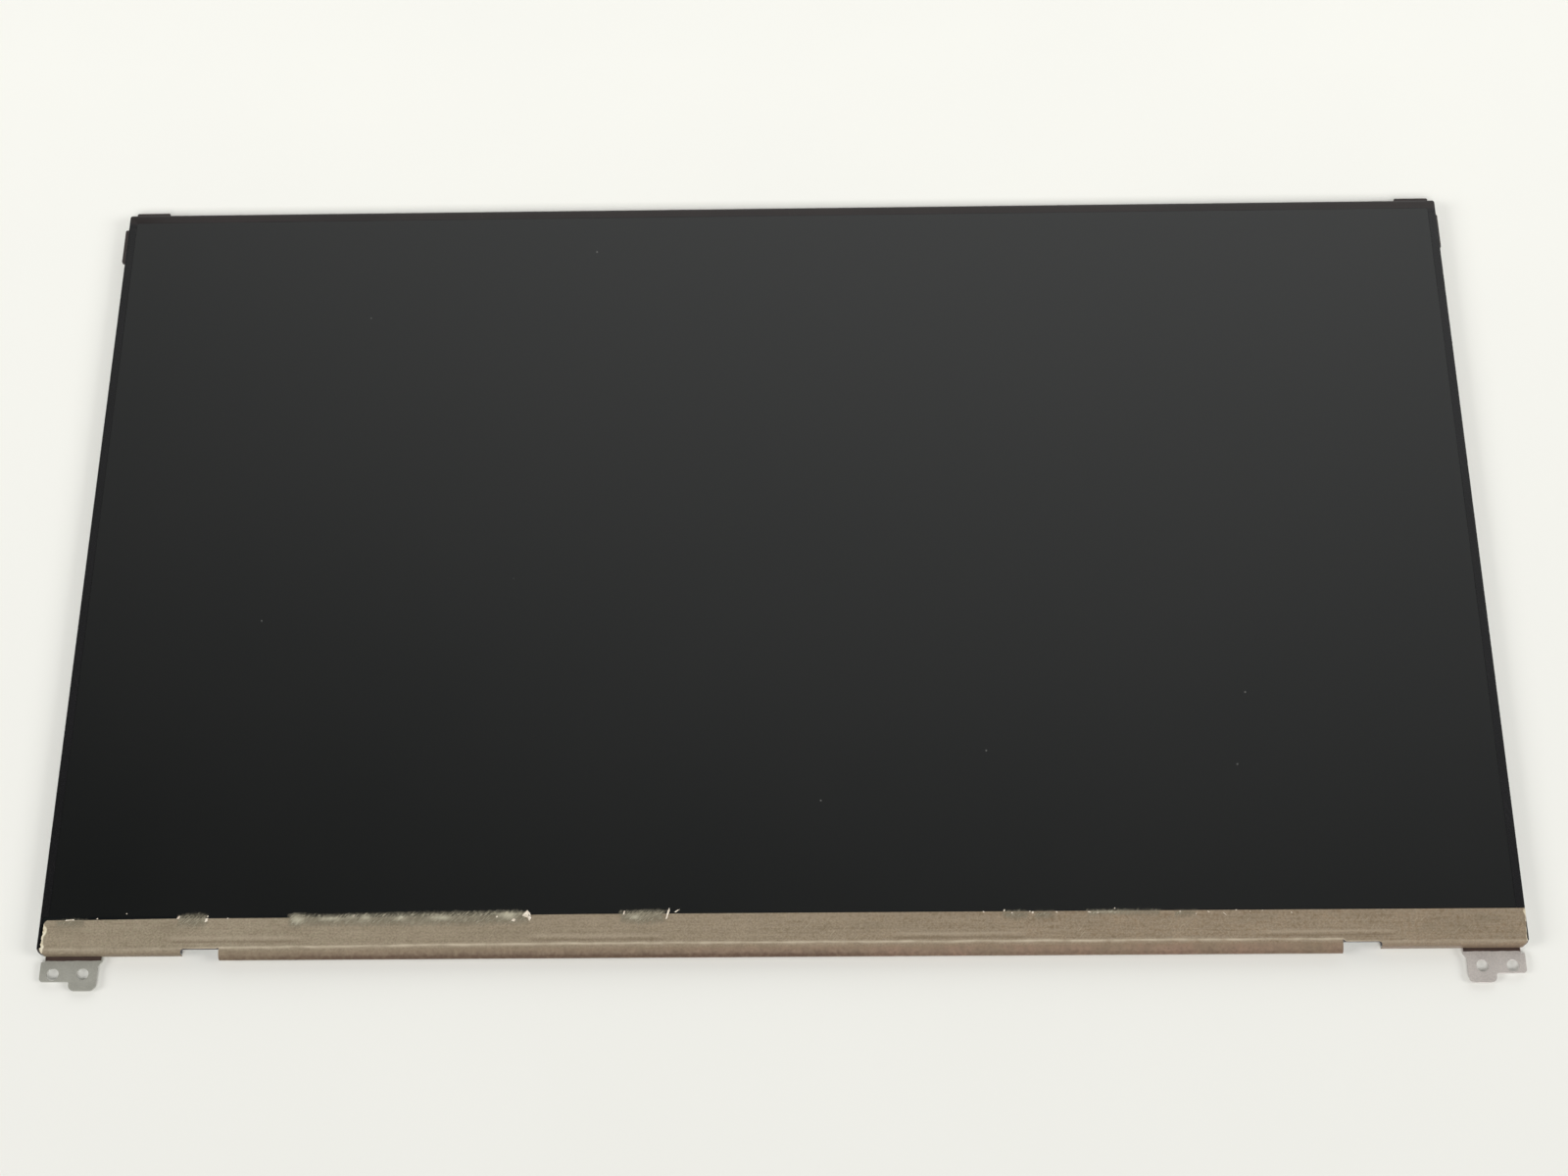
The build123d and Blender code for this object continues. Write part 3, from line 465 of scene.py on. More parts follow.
STAINS = (
    (143.8, -88.8, 2.6, 1.3), (138.6, -89.2, 3.6, 1.0), (153.2, -90.0, 2.6, 1.2),
    (150.0, -87.0, 2.4, 0.9), (-152.0, -88.0, 3.0, 1.4), (-131.0, -87.2, 5.0, 1.2),
    (-60.0, -89.0, 6.0, 1.0), (22.0, -88.0, 7.0, 1.2), (101.0, -86.4, 4.0, 0.8))
WORN_LEFT = (0.45, ((-87.9, 1.0, 0.75), (-91.6, 0.9, 0.6)), 0.35, 1.3, 2.0)
WORN_RIGHT = (0.15, ((-85.7, 0.6, 0.55), (-91.0, 0.8, 0.4)), 0.4, 1.7, 9.0)


def ease(value, start, end):
    """0 before start and 1 after end, with a smooth turn between."""
    share = max(0.0, min(1.0, (value - start) / (end - start)))
    return share * share * (3 - 2 * share)


def bell(value, middle, width):
    """1 in the middle, falling away to both sides."""
    return math.exp(-(((value - middle) / width) ** 2))


def in_spot(x, y, spots):
    """1 in the middle of any of a set of oval spots, falling away round it."""
    return max(bell(math.hypot((x - spot_x) / wide, (y - spot_y) / tall), 0.0, 1.0)
               for spot_x, spot_y, wide, tall in spots)


def corner_inset(from_end, radius):
    """How far a rounded corner lies inside its square one, at a distance from its end."""
    return radius - math.sqrt(max(0.0, radius ** 2 - max(0.0, radius - from_end) ** 2))


def over_chip(x):
    """1 where the tape passes over a chip, falling to 0 past its ends."""
    return max(ease(CHIP_HALF + 2.0 - abs(x - centre), 0.0, 4.0) for centre in CHIP_CENTRES)


def bend(x):
    """Where the front turns down: high over the flexes, low to the left and at the tight side folds."""
    middle = MIDDLE_BEND - LEFT_DROP * ease(-x, 55.0, 105.0)
    return SIDE_BEND + (middle - SIDE_BEND) * ease(MIDDLE_END + NOTCH_TURN - abs(x), 0.0, NOTCH_TURN)


def upper_edge(x):
    """The tape's upper edge, laid a little low towards the left."""
    return fabric_top - 0.4 * ease(-x, 40.0, 90.0) - 0.2 * ease(-x, 125.0, 150.0)


def drape(x, y):
    """How far the tape's front stands off its flat level: it sags past the glass, rides up over
    the chips and the crest, steps up on the right edge and is a little uneven all over."""
    sag = ease(GLASS_END - y, 0.0, 0.8) * ease(y - bend(x), 0.05, 0.7) * ease(OUTER_SIDE - x, 0.8, 2.0)
    uneven = 0.5 + noise.noise(Vector((x / 7, y / 3, 4.2)))
    fine = 0.5 + noise.noise(Vector((x / 1.6, y / 0.9, 8.1)))
    lift = 0.014 * max(0.0, uneven) + 0.006 * max(0.0, fine) + 0.03 * bell(y, bend(x) + 0.12, 0.22)
    step = STEP_UP * ease(x, OUTER_SIDE - 0.7, OUTER_SIDE - 0.3)
    step -= STEP_DOWN * ease(x, OUTER_SIDE - 0.25, OUTER_SIDE + 0.1)
    return lift + step - SAG * sag * (1 - 0.95 * over_chip(x) * bell(y, RIDGE_Y, 0.62))


def quarter(centre, wide, tall, start, count):
    """A quarter turn in side view from an angle in degrees, in even steps after its first point."""
    turns = [math.radians(start + 90 * step / count) for step in range(1, count + 1)]
    return [(centre[0] + wide * math.cos(turn), centre[1] + tall * math.sin(turn)) for turn in turns]


def leg(start, end, z):
    """A level run on the back, in even steps after its first point."""
    return [(start + (end - start) * step / 8, z) for step in range(1, 9)]


def middle_profile(start):
    """The round fold below the bend: a stretched quarter, a round quarter and the leg on the back."""
    centre = fabric_reach + MIDDLE_R
    stretched = quarter((start, MIDDLE_Z), start - fabric_reach, MIDDLE_R, 90, 18)
    rounded = quarter((centre, MIDDLE_Z), MIDDLE_R, MIDDLE_R, 180, 8)
    return stretched + rounded + leg(centre, BACK_END, fabric_back)


def side_profile():
    """The tight fold below the bend: over the lower edge, down the wall and on to the rim."""
    centre_z, rim = fabric_front - SIDE_R, (LOWER_EDGE + RIM_R, BACK_RIM + RIM_R)
    edge = quarter((SIDE_BEND, centre_z), SIDE_R, SIDE_R, 90, 8)
    wall = [(LOWER_EDGE, centre_z + (WALL_FOOT - centre_z) * step / 4) for step in range(1, 5)]
    turn = [(LOWER_EDGE, rim[1])] + quarter(rim, RIM_R, RIM_R, 180, 4)
    return edge + wall + turn + leg(rim[0], BACK_END, BACK_RIM)


FOLD_SIDE = side_profile()


def fold_line(x):
    """The tape's fold below the bend at one place along the panel."""
    reach = abs(x)
    if reach <= MIDDLE_END + 1e-6:
        return middle_profile(bend(x))
    if reach < NOTCH_END - NOTCH_R - 1e-6:
        return []
    if reach < NOTCH_END - 1e-6:
        share = corner_inset((NOTCH_END - reach) / NOTCH_R, 1)
        line = []
        for y, _ in FOLD_SIDE[:4]:
            y = SIDE_BEND + (y - SIDE_BEND) * share
            line.append((y, fabric_front - SIDE_R + math.sqrt(SIDE_R ** 2 - (y - SIDE_BEND) ** 2)))
        return line
    line = FOLD_SIDE[:WALL_ROWS] if reach > BRACKET_END + 1e-6 else FOLD_SIDE
    from_end = min(x - fabric_left, fabric_right - x)
    if from_end < END_R:
        line = [(max(y, LOWER_EDGE + corner_inset(from_end, END_R)), z) for y, z in line]
    return line


def worn_width(y, least, bites, ragged, pace, seed):
    """How far in from an end the cloth's coating is gone: a ragged line with deeper bites."""
    bitten = sum(deep * bell(y, middle, tall) for middle, tall, deep in bites)
    return least + bitten + ragged * noise.noise(Vector((y * pace, seed, 0.5)))


def worn_share(x, y):
    """How far the cloth's coating is gone at the frayed left end and the rubbed right end."""
    left = worn_width(y, *WORN_LEFT) * ease(-86.2 - y, 0.0, 0.7)
    right = max(0.0, worn_width(y, *WORN_RIGHT))
    return max(1 - ease(x - fabric_left, 0.4 * left, left + 0.15),
               0.8 * (1 - ease(fabric_right - x, 0.3 * right, right + 0.1)))


def end_shift(x, y, z):
    """How far the ends lean off the straight, with the loose threads of the left one."""
    lean = ease(y, -92.5, -85.0)
    shift = LEAN_LEFT * lean * ease(fabric_left + FRAY - x, 0.0, FRAY)
    shift -= LEAN_RIGHT * (1 - lean) * ease(x - fabric_right + 2.5, 0.0, 2.5)
    if x - fabric_left < THREAD_END:
        loose = max(0.0, 0.2 + noise.noise(Vector((1.0, y * 1.9, z * 1.9))))
        shift += 0.3 * (1 - (x - fabric_left) / THREAD_END) * loose
    return shift


front_shares = [1 - (1 - row / FRONT_ROWS) ** 1.4 for row in range(FRONT_ROWS + 1)]
columns = stations([fabric_left, fabric_left + FRAY], 0.15)
for stop, step in ((-BRACKET_END, COARSE), (-NOTCH_END, COARSE), (-NOTCH_END + NOTCH_R, FINE),
                   (-MIDDLE_END, COARSE), (MIDDLE_END, COARSE), (NOTCH_END - NOTCH_R, COARSE),
                   (NOTCH_END, FINE), (BRACKET_END, COARSE), (fabric_right - END_R, COARSE),
                   (fabric_right, 0.12)):
    columns += stations([columns[-1], stop], step)[1:]

points, uvs, lines = [], [], []
marks = {"crest": [], "fold": [], "turned": [], "stain": [], "relief": [], "worn": []}
for x in columns:
    start, end = upper_edge(x) - corner_inset(x - fabric_left, CUT_R), bend(x)
    front_line = [start + (end - start) * share for share in front_shares]
    line = [(y, fabric_front + drape(x, y)) for y in front_line] + fold_line(x)
    middle = ease(NOTCH_END - abs(x), 0.0, 4.0)
    chip = over_chip(x)
    lines.append((len(points), len(line)))
    length, previous = 0.0, line[0]
    for row, (y, z) in enumerate(line):
        length += math.hypot(y - previous[0], z - previous[1])
        previous = (y, z)
        points.append((x + end_shift(x, y, z), y, z))
        uvs.append((x, length))
        below = max(0.0, end - y) + max(0.0, fabric_front - 0.1 - z)
        # Painted highlight along the fold's crest, just past the bend where the tape turns down.
        crest_y = end + 0.06 + 0.16 * noise.noise(Vector((x / 5, 0.3, 2.2)))
        crest_width = 0.26 + 0.12 * noise.noise(Vector((x / 3, 5.1, 1.2)))
        marks["crest"].append(bell(y, crest_y, crest_width) * (0.35 + 0.65 * middle) if z > 2.3 else 0.0)
        # Painted shade over the face that turns down past the bend.
        marks["fold"].append(ease(below, 0.0, 1.5) * (0.5 + 0.5 * middle))
        depth = fabric_front - z
        rim = 1 - 0.4 * ease(depth, 1.0, 1.4)
        # Painted shade where the tape turns under: darkest partway round, a little lighter at the rim, and
        # weaker to the right and at the far left.
        rubbed = 0.6 * ease(x, 0.0, 40.0) + 0.45 * ease(-x, 95.0, 112.0)
        marks["turned"].append(ease(depth, 0.02, 0.95) * rim * (0.5 + 0.5 * middle) * (1 - rubbed))
        marks["stain"].append(in_spot(x, y, STAINS) if row <= FRONT_ROWS else 0.0)
        # Painted highlight on the ridges over the chips and painted shade in the valleys below them.
        ridge_light_valley_shade = bell(y, RIDGE_Y, 0.4) - bell(y, VALLEY_Y, 0.3)
        marks["relief"].append(chip * ridge_light_valley_shade if row <= FRONT_ROWS else 0.0)
        marks["worn"].append(worn_share(x, y) if z > 0.3 else 0.0)
faces = []
for (start, count), (next_start, next_count) in zip(lines, lines[1:]):
    for row in range(min(count, next_count) - 1):
        faces.append([start + row, start + row + 1, next_start + row + 1, next_start + row])


def lay(piece, **marks):
    """Lays named values on a piece's points."""
    for name, values in marks.items():
        piece.data.attributes.new(name, "FLOAT", "POINT").data.foreach_set("value", values)


def painted(name):
    """A value laid on a piece's points."""
    return add("ShaderNodeAttribute", attribute_name=name)["Fac"]


woven_tape = new_material("woven_tape", IOR=1.45, Specular_IOR_Level=0.3)
tape_map = add("ShaderNodeUVMap", uv_map="TapeMap")[0]
along, across, _ = axes(tape_map)
warp = calc("SINE", calc("MULTIPLY", along, 2 * math.pi / THREAD_PITCH))
weft = calc("SINE", calc("MULTIPLY", across, 2 * math.pi / THREAD_PITCH))
weave = spread(calc("MULTIPLY", warp, weft), 0.0, 1.0, -1.0, 1.0)
tone = cloud(9.0, 3.0)
mottle = cloud(2.2, 5.0, contrast=1.6)
fleck = cloud(0.8, 4.0, contrast=1.3)
nap = cloud(0.42, 3.0, contrast=1.6)
streak = streaks(16.0, 0.5, start=0.42, end=0.62)
shade = streaks(26.0, 0.42, start=0.5, end=0.68)
cuts = calc("MULTIPLY", streaks(2.2, 0.16, turn=-0.85, start=0.64, end=0.75), cloud(24.0, contrast=2.5))
rightward = spread(along, 0.0, 1.0, -110.0, 70.0)
olive = mix(tone, (139, 130, 108), (157, 147, 125))
brown = mix(tone, (122, 103, 80), (146, 124, 99))
colour = mix(rightward, olive, brown)
colour = tint(colour, mottle, 0.5, (118, 104, 84))
colour = tint(colour, fleck, 0.7, (175, 161, 139))
colour = tint(colour, nap, 0.5, (108, 94, 75))
colour = tint(colour, streak, 0.16, (172, 158, 137))
colour = tint(colour, shade, 0.1, (108, 95, 76))
stained = calc("MULTIPLY", painted("stain"), spread(mottle, 0.4, 1.0))
colour = tint(colour, stained, 0.3, (104, 95, 76))
colour = tint(colour, cuts, 0.5, (194, 184, 160))
# Painted highlight on the chip ridges and painted shade in their valleys.
relief = painted("relief")
colour = tint(colour, spread(relief, 0.0, 1.0), 0.3, (184, 170, 149))
colour = tint(colour, spread(relief, 1.0, 0.0, -1.0, 0.0), 0.45, (106, 91, 72))
# Painted shade: the turned-down face below the bend is darker, and redder towards the right.
reddish = calc("MULTIPLY", cloud(9.0, 4.0), rightward)
fold_shade_colour = mix(reddish, (134, 117, 95), (146, 115, 98))
fold_shade_colour = tint(fold_shade_colour, mottle, 0.5, (112, 96, 77))
colour = tint(colour, painted("fold"), 0.8, fold_shade_colour)
# Painted shade: a dark ragged line where the tape turns under the fold.
uneven = calc("ADD", painted("turned"), spread(fleck, -0.3, 0.3))
colour = tint(colour, spread(uneven, 0.0, 1.0), 0.8, (82, 61, 49))
# Painted highlight along the crest, broken into patches.
broken = cloud(3.0, 5.0, contrast=1.6)
crest = calc("MULTIPLY", painted("crest"), spread(broken, 0.4, 0.9))
colour = mix(crest, colour, (194, 180, 158))
bitten = calc("ADD", painted("worn"), spread(mottle, -0.3, 0.2))
bare = mix(fleck, (206, 192, 162), (240, 231, 208))
colour = tint(colour, spread(bitten, 0.0, 1.0, 0.25, 0.7), 0.9, bare)
height = calc("ADD", calc("MULTIPLY", weave, 0.5), fleck)
surface(colour, spread(fleck, 0.5, 0.64), height, 0.02)

fabric = new_piece("fabric_tape_cloth", points, faces, woven_tape)
fabric.data.uv_layers.new(name="TapeMap")
for loop in fabric.data.loops:
    fabric.data.uv_layers["TapeMap"].data[loop.index].uv = uvs[loop.vertex_index]
lay(fabric, **marks)
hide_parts("fabric_tape")
thicken(fabric, FABRIC_DEPTH)


# Residue: torn films of old adhesive along the fabric tape's upper edge, grey-green and streaked where
# another tape was pulled away, with paler lumps where the adhesive is thicker.
FILM_LIFT, LUMP_LIFT, FILM_STEP, FILM_ROWS, FILM_MARGIN = 0.012, 0.05, 0.3, 16, 0.6
FILMS = (
    ((-154.7, -87.0, -85.4), (-151.0, -87.1, -85.1), (-148.1, -86.9, -85.3)),
    ((-128.3, -87.0, -84.4), (-125.0, -87.5, -84.1), (-122.0, -87.1, -84.2)),
    ((-104.7, -87.1, -84.5), (-102.9, -87.7, -84.0), (-101.4, -87.2, -84.3), (-99.0, -87.3, -84.5),
     (-92.0, -87.2, -84.3), (-76.0, -87.3, -84.1), (-64.0, -87.2, -84.0), (-56.0, -87.1, -83.8),
     (-53.2, -86.8, -84.1)),
    ((-33.9, -86.9, -84.2), (-29.0, -87.2, -83.9), (-24.0, -87.0, -84.0)),
    ((47.5, -86.3, -84.7), (50.5, -86.9, -84.6), (53.2, -86.3, -84.7)),
    ((54.4, -86.6, -84.7), (58.6, -86.4, -84.7)),
    ((65.5, -86.0, -84.6), (72.0, -85.9, -84.5), (81.0, -85.9, -84.6)),
    ((84.0, -86.5, -84.7), (88.6, -86.0, -84.7)))
LUMPS = (
    (-102.8, -85.7, 1.3, 1.1), (-95.5, -85.4, 2.4, 0.5), (-91.0, -85.0, 0.8, 0.5),
    (-88.0, -85.2, 1.0, 0.6), (-80.6, -85.3, 0.8, 0.6), (-72.0, -85.4, 2.2, 0.5),
    (-57.6, -85.0, 1.9, 0.9), (-30.5, -85.6, 1.0, 0.5), (-128.0, -85.2, 0.5, 0.6),
    (-122.4, -85.6, 0.5, 0.6), (69.0, -85.1, 4.5, 0.35))
screen_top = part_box("front_polariser")[1].z / MM


def rest(x, y):
    """The height of the screen or the tape under a point near the tape's upper edge."""
    return screen_top + (fabric_front + drape(x, y) - screen_top) * ease(upper_edge(x) + 0.2 - y, 0.0, 0.2)


def between(stops, x):
    """The lower and upper lines at a place, drawn straight between stops."""
    for (start, *first), (end, *second) in zip(stops, stops[1:]):
        if x <= end:
            share = max(0.0, (x - start) / (end - start))
            return [a + (b - a) * share for a, b in zip(first, second)]
    return stops[-1][1:]


points, faces, inside, pale = [], [], [], []
for stops in FILMS:
    left, right = stops[0][0], stops[-1][0]
    columns = stations([left - FILM_MARGIN, right + FILM_MARGIN], FILM_STEP)
    for column, x in enumerate(columns):
        low, high = between(stops, x)
        for row in range(FILM_ROWS + 1):
            y = low - FILM_MARGIN + (high - low + 2 * FILM_MARGIN) * row / FILM_ROWS
            lump = in_spot(x, y, LUMPS)
            points.append((x, y, rest(x, y) + FILM_LIFT + LUMP_LIFT * lump))
            inside.append(min(0.8 * (y - low), high - y, x - left, right - x))
            pale.append(lump)
            if column and row:
                at = len(points) - 1
                faces.append([at - FILM_ROWS - 2, at - 1, at, at - FILM_ROWS - 1])

old_adhesive = new_material("old_adhesive", IOR=1.45)
blotch = cloud(2.0, 4.0)
torn = cloud(0.5, 4.0)
drag = streaks(1.5, 0.2, turn=-0.75, start=0.46, end=0.66)
lump = painted("pale")
colour = mix(blotch, (122, 115, 96), (145, 137, 117))
colour = tint(colour, torn, 0.2, (102, 99, 83))
colour = tint(colour, drag, 0.6, (188, 180, 158))
colour = tint(colour, lump, 0.7, (190, 184, 162))
edge = calc("ADD", painted("inside"), spread(torn, -0.25, 0.25))
edge = calc("ADD", edge, spread(drag, -0.05, 0.15))
thick = calc("ADD", spread(drag, 0.0, 0.15), spread(lump, 0.0, 0.3))
on_screen = spread(axes(place())[1], 0.0, 0.3, -85.0, -84.7)
body = calc("ADD", spread(blotch, 0.45, 0.72), calc("ADD", thick, on_screen))
feed("Alpha", calc("MULTIPLY", spread(edge, 0.0, 1.0, -0.15, 1.0), body))
surface(colour, spread(torn, 0.4, 0.6), torn, 0.03)
residue = new_piece("adhesive_residue", points, faces, old_adhesive)
lay(residue, inside=inside, pale=pale)
residue.data.shade_smooth()


# Scraps: chips of cream cloth and paper caught on the tape's upper edge, the larger ones bent up like
# broken flakes, with specks and short slivers to the right.
SCRAP_DEPTH = 0.03
CHIPS = (
    ((-54.6, -85.1, 0.05), (-53.5, -84.0, 0.35), (-53.2, -84.9, 0.30), (-53.4, -85.6, 0.05)),
    ((-53.2, -84.9, 0.30), (-53.5, -84.0, 0.35), (-52.9, -84.6, 0.05), (-52.7, -85.3, 0.05)),
    ((-53.4, -85.6, 0.05), (-53.1, -85.1, 0.25), (-52.6, -85.6, 0.10), (-53.0, -86.3, 0.02)),
    ((-24.0, -86.1, 0.03), (-23.7, -86.0, 0.05), (-23.1, -84.3, 0.30), (-23.2, -83.7, 0.40),
     (-23.6, -84.4, 0.25)),
    ((-22.2, -84.6, 0.03), (-21.8, -84.6, 0.05), (-20.9, -84.0, 0.18), (-21.6, -84.2, 0.22)),
    ((-33.1, -85.0, 0.03), (-32.8, -85.0, 0.05), (-32.6, -84.2, 0.15), (-32.9, -84.3, 0.18)),
    ((-56.9, -86.2, 0.06), (-56.3, -86.4, 0.05), (-55.9, -86.0, 0.12), (-56.4, -85.7, 0.15)),
    ((-152.5, -85.6, 0.03), (-150.5, -85.5, 0.03), (-150.6, -85.3, 0.05), (-152.3, -85.4, 0.05)),
    ((-128.6, -85.3, 0.03), (-128.0, -85.3, 0.05), (-127.8, -84.7, 0.10), (-128.2, -84.8, 0.10)),
    ((-122.5, -86.1, 0.03), (-121.9, -85.9, 0.05), (-121.8, -85.2, 0.10), (-122.3, -85.3, 0.12)))
SPECKS = (
    (48.0, -84.6, 0.6, 0.3, 60), (54.0, -85.1, 0.6, 0.45, 30), (49.6, -85.2, 0.45, 0.3, 10),
    (53.4, -84.9, 0.4, 0.3, 70), (59.1, -85.1, 0.6, 0.3, -35), (71.4, -84.3, 0.4, 0.25, 80),
    (66.0, -85.1, 0.9, 0.25, -15), (67.8, -85.2, 0.45, 0.3, 20), (43.6, -84.9, 0.55, 0.3, -20),
    (85.2, -85.1, 0.4, 0.25, 0), (88.6, -85.6, 0.4, 0.2, 40), (91.2, -85.2, 0.7, 0.2, -30),
    (97.0, -84.9, 0.5, 0.22, 15), (100.0, -85.2, 0.35, 0.25, 70), (102.6, -85.0, 0.45, 0.2, 25),
    (108.7, -85.5, 0.35, 0.25, -30), (94.6, -85.7, 1.3, 0.14, -45), (-145.6, -85.2, 0.4, 0.3, 20),
    (-121.9, -84.8, 0.4, 0.3, 10), (-117.6, -85.3, 0.5, 0.3, 40), (-90.6, -84.9, 0.9, 0.2, 40),
    (-80.4, -85.3, 0.6, 0.4, 15), (-60.0, -85.3, 0.5, 0.4, 50), (-139.4, -84.1, 0.35, 0.25, 20))
FLAKE = ((-0.5, -0.1), (-0.2, -0.5), (0.3, -0.35), (0.5, 0.15), (0.1, 0.5), (-0.35, 0.3))

points, faces = [], []
for chip in CHIPS:
    faces.append(list(range(len(points), len(points) + len(chip))))
    points += [(x, y, rest(x, y) + FILM_LIFT + SCRAP_DEPTH + lift) for x, y, lift in chip]
for x, y, length, width, turn in SPECKS:
    forward = Vector((math.cos(math.radians(turn)), math.sin(math.radians(turn))))
    sideways = Vector((-forward.y, forward.x))
    faces.append(list(range(len(points), len(points) + len(FLAKE))))
    for along, aside in FLAKE:
        jag = 0.75 + 0.5 * abs(noise.noise(Vector((x * 2.3 + along * 5, y * 2.3, aside * 5))))
        spot = Vector((x, y)) + (forward * length * along + sideways * width * aside) * jag
        points.append((*spot, rest(*spot) + 2 * FILM_LIFT + SCRAP_DEPTH))
cream_scrap = new_material("cream_scrap")
pulp = cloud(0.6, 4.0, contrast=0.8)
colour = mix(pulp, (190, 172, 148), (250, 241, 226))
surface(colour, spread(pulp, 0.55, 0.75), pulp, 0.04)
scraps = new_piece("cream_scraps", points, faces, cream_scrap)
thicken(scraps, SCRAP_DEPTH)


# Brackets: two mirrored plates stamped from thin steel, each with an ear and a longer lobe that carry
# a screw hole. Dark double-sided pads hold them to the cover's rim; their dark strip past the lower
# edge is partly painted shadow, standing in for the shadowed gap under the tape.
STAMPED_EDGE, HOLE_STEPS, ROUND_WITHIN = 0.06, 48, 0.02


def rim_loops(name):
    """The closed outlines of a flat node's upper face, each in order."""
    work = welded(nodes[name].data, 1e-6)
    top = max(vertex.co.z for vertex in work.verts)
    flat = [face for face in work.faces if all(abs(vertex.co.z - top) < 1e-6 for vertex in face.verts)]
    follow = {loop.vert: loop.link_loop_next.vert for face in flat for loop in face.loops
              if loop.link_loop_radial_next.face not in flat}
    found = []
    while follow:
        at, outline = next(iter(follow)), []
        while at in follow:
            outline.append(at.co.xy / MM)
            at = follow.pop(at)
        found.append(outline)
    work.free()
    return found


def stamped(name, finish):
    """A flat stamped plate with rolled edges, round holes and the outline of its CAD node."""
    low, high = (corner.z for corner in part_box(name))
    curve = bpy.data.curves.new(name, "CURVE")
    curve.dimensions = "2D"
    curve.fill_mode = "BOTH"
    curve.bevel_depth = STAMPED_EDGE * MM
    curve.bevel_resolution = 2
    curve.offset = -STAMPED_EDGE * MM
    curve.extrude = (high - low) / 2 - STAMPED_EDGE * MM
    for loop in rim_loops(name):
        centre = sum(loop, Vector((0.0, 0.0))) / len(loop)
        radii = [(point - centre).length for point in loop]
        if max(radii) - min(radii) < ROUND_WITHIN:
            turns = [2 * math.pi * step / HOLE_STEPS for step in range(HOLE_STEPS)]
            loop = [centre + max(radii) * Vector((math.cos(turn), math.sin(turn))) for turn in turns]
        spline = curve.splines.new("POLY")
        spline.points.add(len(loop) - 1)
        for point, corner in zip(spline.points, loop):
            point.co = (*(corner * MM), 0.0, 1.0)
        spline.use_cyclic_u = True
    maker = show(name + "_maker", curve)
    mesh = bpy.data.meshes.new_from_object(maker.evaluated_get(bpy.context.evaluated_depsgraph_get()))
    bpy.data.objects.remove(maker)
    mesh.transform(Matrix.Translation((0, 0, (low + high) / 2)))
    work = welded(mesh)
    bmesh.ops.recalc_face_normals(work, faces=work.faces)
    points = [vertex.co / MM for vertex in work.verts]
    faces = [[vertex.index for vertex in face.verts] for face in work.faces]
    work.free()
    piece = new_piece(name + "_plate", points, faces, finish)
    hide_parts(name)
    settle(piece, sharp=10)


def bracket_finish(name, dull, bright):
    """Bare stamped steel, tumbled to a soft grain, dulled in patches and rubbed bright in others."""
    made = new_material(name, Metallic=0.4)
    tumbled = cloud(0.35, 4.0)
    dulled = cloud(3.5, 3.0)
    scored = streaks(5.0, 0.09, turn=0.4, start=0.64, end=0.76)
    colour = mix(dulled, dull, bright)
    colour = tint(colour, tumbled, 0.3, (122, 116, 110))
    colour = tint(colour, scored, 0.45, (214, 210, 202))
    surface(colour, spread(tumbled, 0.38, 0.56), tumbled, 0.005)
    return made


stamped("left_bracket", bracket_finish("bracket_steel_left", (170, 169, 158), (186, 185, 174)))
stamped("right_bracket", bracket_finish("bracket_steel_right", (198, 190, 184), (214, 206, 199)))

# Dark brown adhesive; where the strip shows past the tape's lower edge it also stands in for shadow.
pad_adhesive = new_material("pad_adhesive")
pores = cloud(0.25, 3.0)
stain = cloud(3.0)
colour = mix(stain, (52, 35, 27), (70, 48, 38))
colour = tint(colour, pores, 0.4, (30, 21, 17))
surface(colour, spread(pores, 0.6, 0.8), pores, 0.02)
PAD_TOP, PAD_ENDS, PAD_FEET, PAD_STEP = -81.65, (144.5, 156.4), (-93.7, -93.5), 0.5
pad_low, pad_high = (corner.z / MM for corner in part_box("bracket_pads"))
points, faces = [], []
for side, foot in zip((-1, 1), PAD_FEET):
    for column, x in enumerate(stations(sorted(side * end for end in PAD_ENDS), PAD_STEP)):
        ragged = foot + 0.1 * noise.noise(Vector((x * 0.9, 3.0, 0.5)))
        points += [(x, PAD_TOP, pad_high), (x, ragged, pad_high)]
        if column:
            at = len(points)
            faces.append([at - 4, at - 3, at - 1, at - 2])
pads = new_piece("bracket_pad_strips", points, faces, pad_adhesive)
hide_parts("bracket_pads")
thicken(pads, pad_high - pad_low)


# Control board: a long narrow board glued along the rim on the back, with its green mask over copper
# tracks, a row of gilt test pads along it, and its parts soldered in a row.
PAD_ROW, PAD_COUNT, PAD_PITCH, PAD_RADIUS, PAD_DEPTH = (-104.0, -85.9), 61, 2.6, 0.35, 0.02

board_resin = new_material("board_resin")
tracks = streaks(18.0, 0.3, start=0.49, end=0.53)
drops = streaks(6.0, 0.3, turn=math.pi / 2, start=0.56, end=0.6)
copper = calc("MAXIMUM", tracks, drops)
vias = effect(specks, Spacing=1.6, Size=0.16, Share=0.5)
glassy = cloud(4.0, 3.0)
colour = mix(copper, (14, 44, 34), (28, 72, 52))
colour = tint(colour, glassy, 0.25, (20, 56, 46))
colour = tint(colour, vias, 0.6, (150, 140, 96))
surface(colour, spread(glassy, 0.26, 0.4), copper, 0.02)
dress(board_resin, "control_board")

dress(clouded("board_adhesive", (196, 190, 172), (214, 210, 196), (0.5, 0.7), 0.5), "board_glue")
contact_metal = clouded("contact_metal", (212, 172, 92), (232, 196, 120), (0.2, 0.32), 0.3, Metallic=1.0)


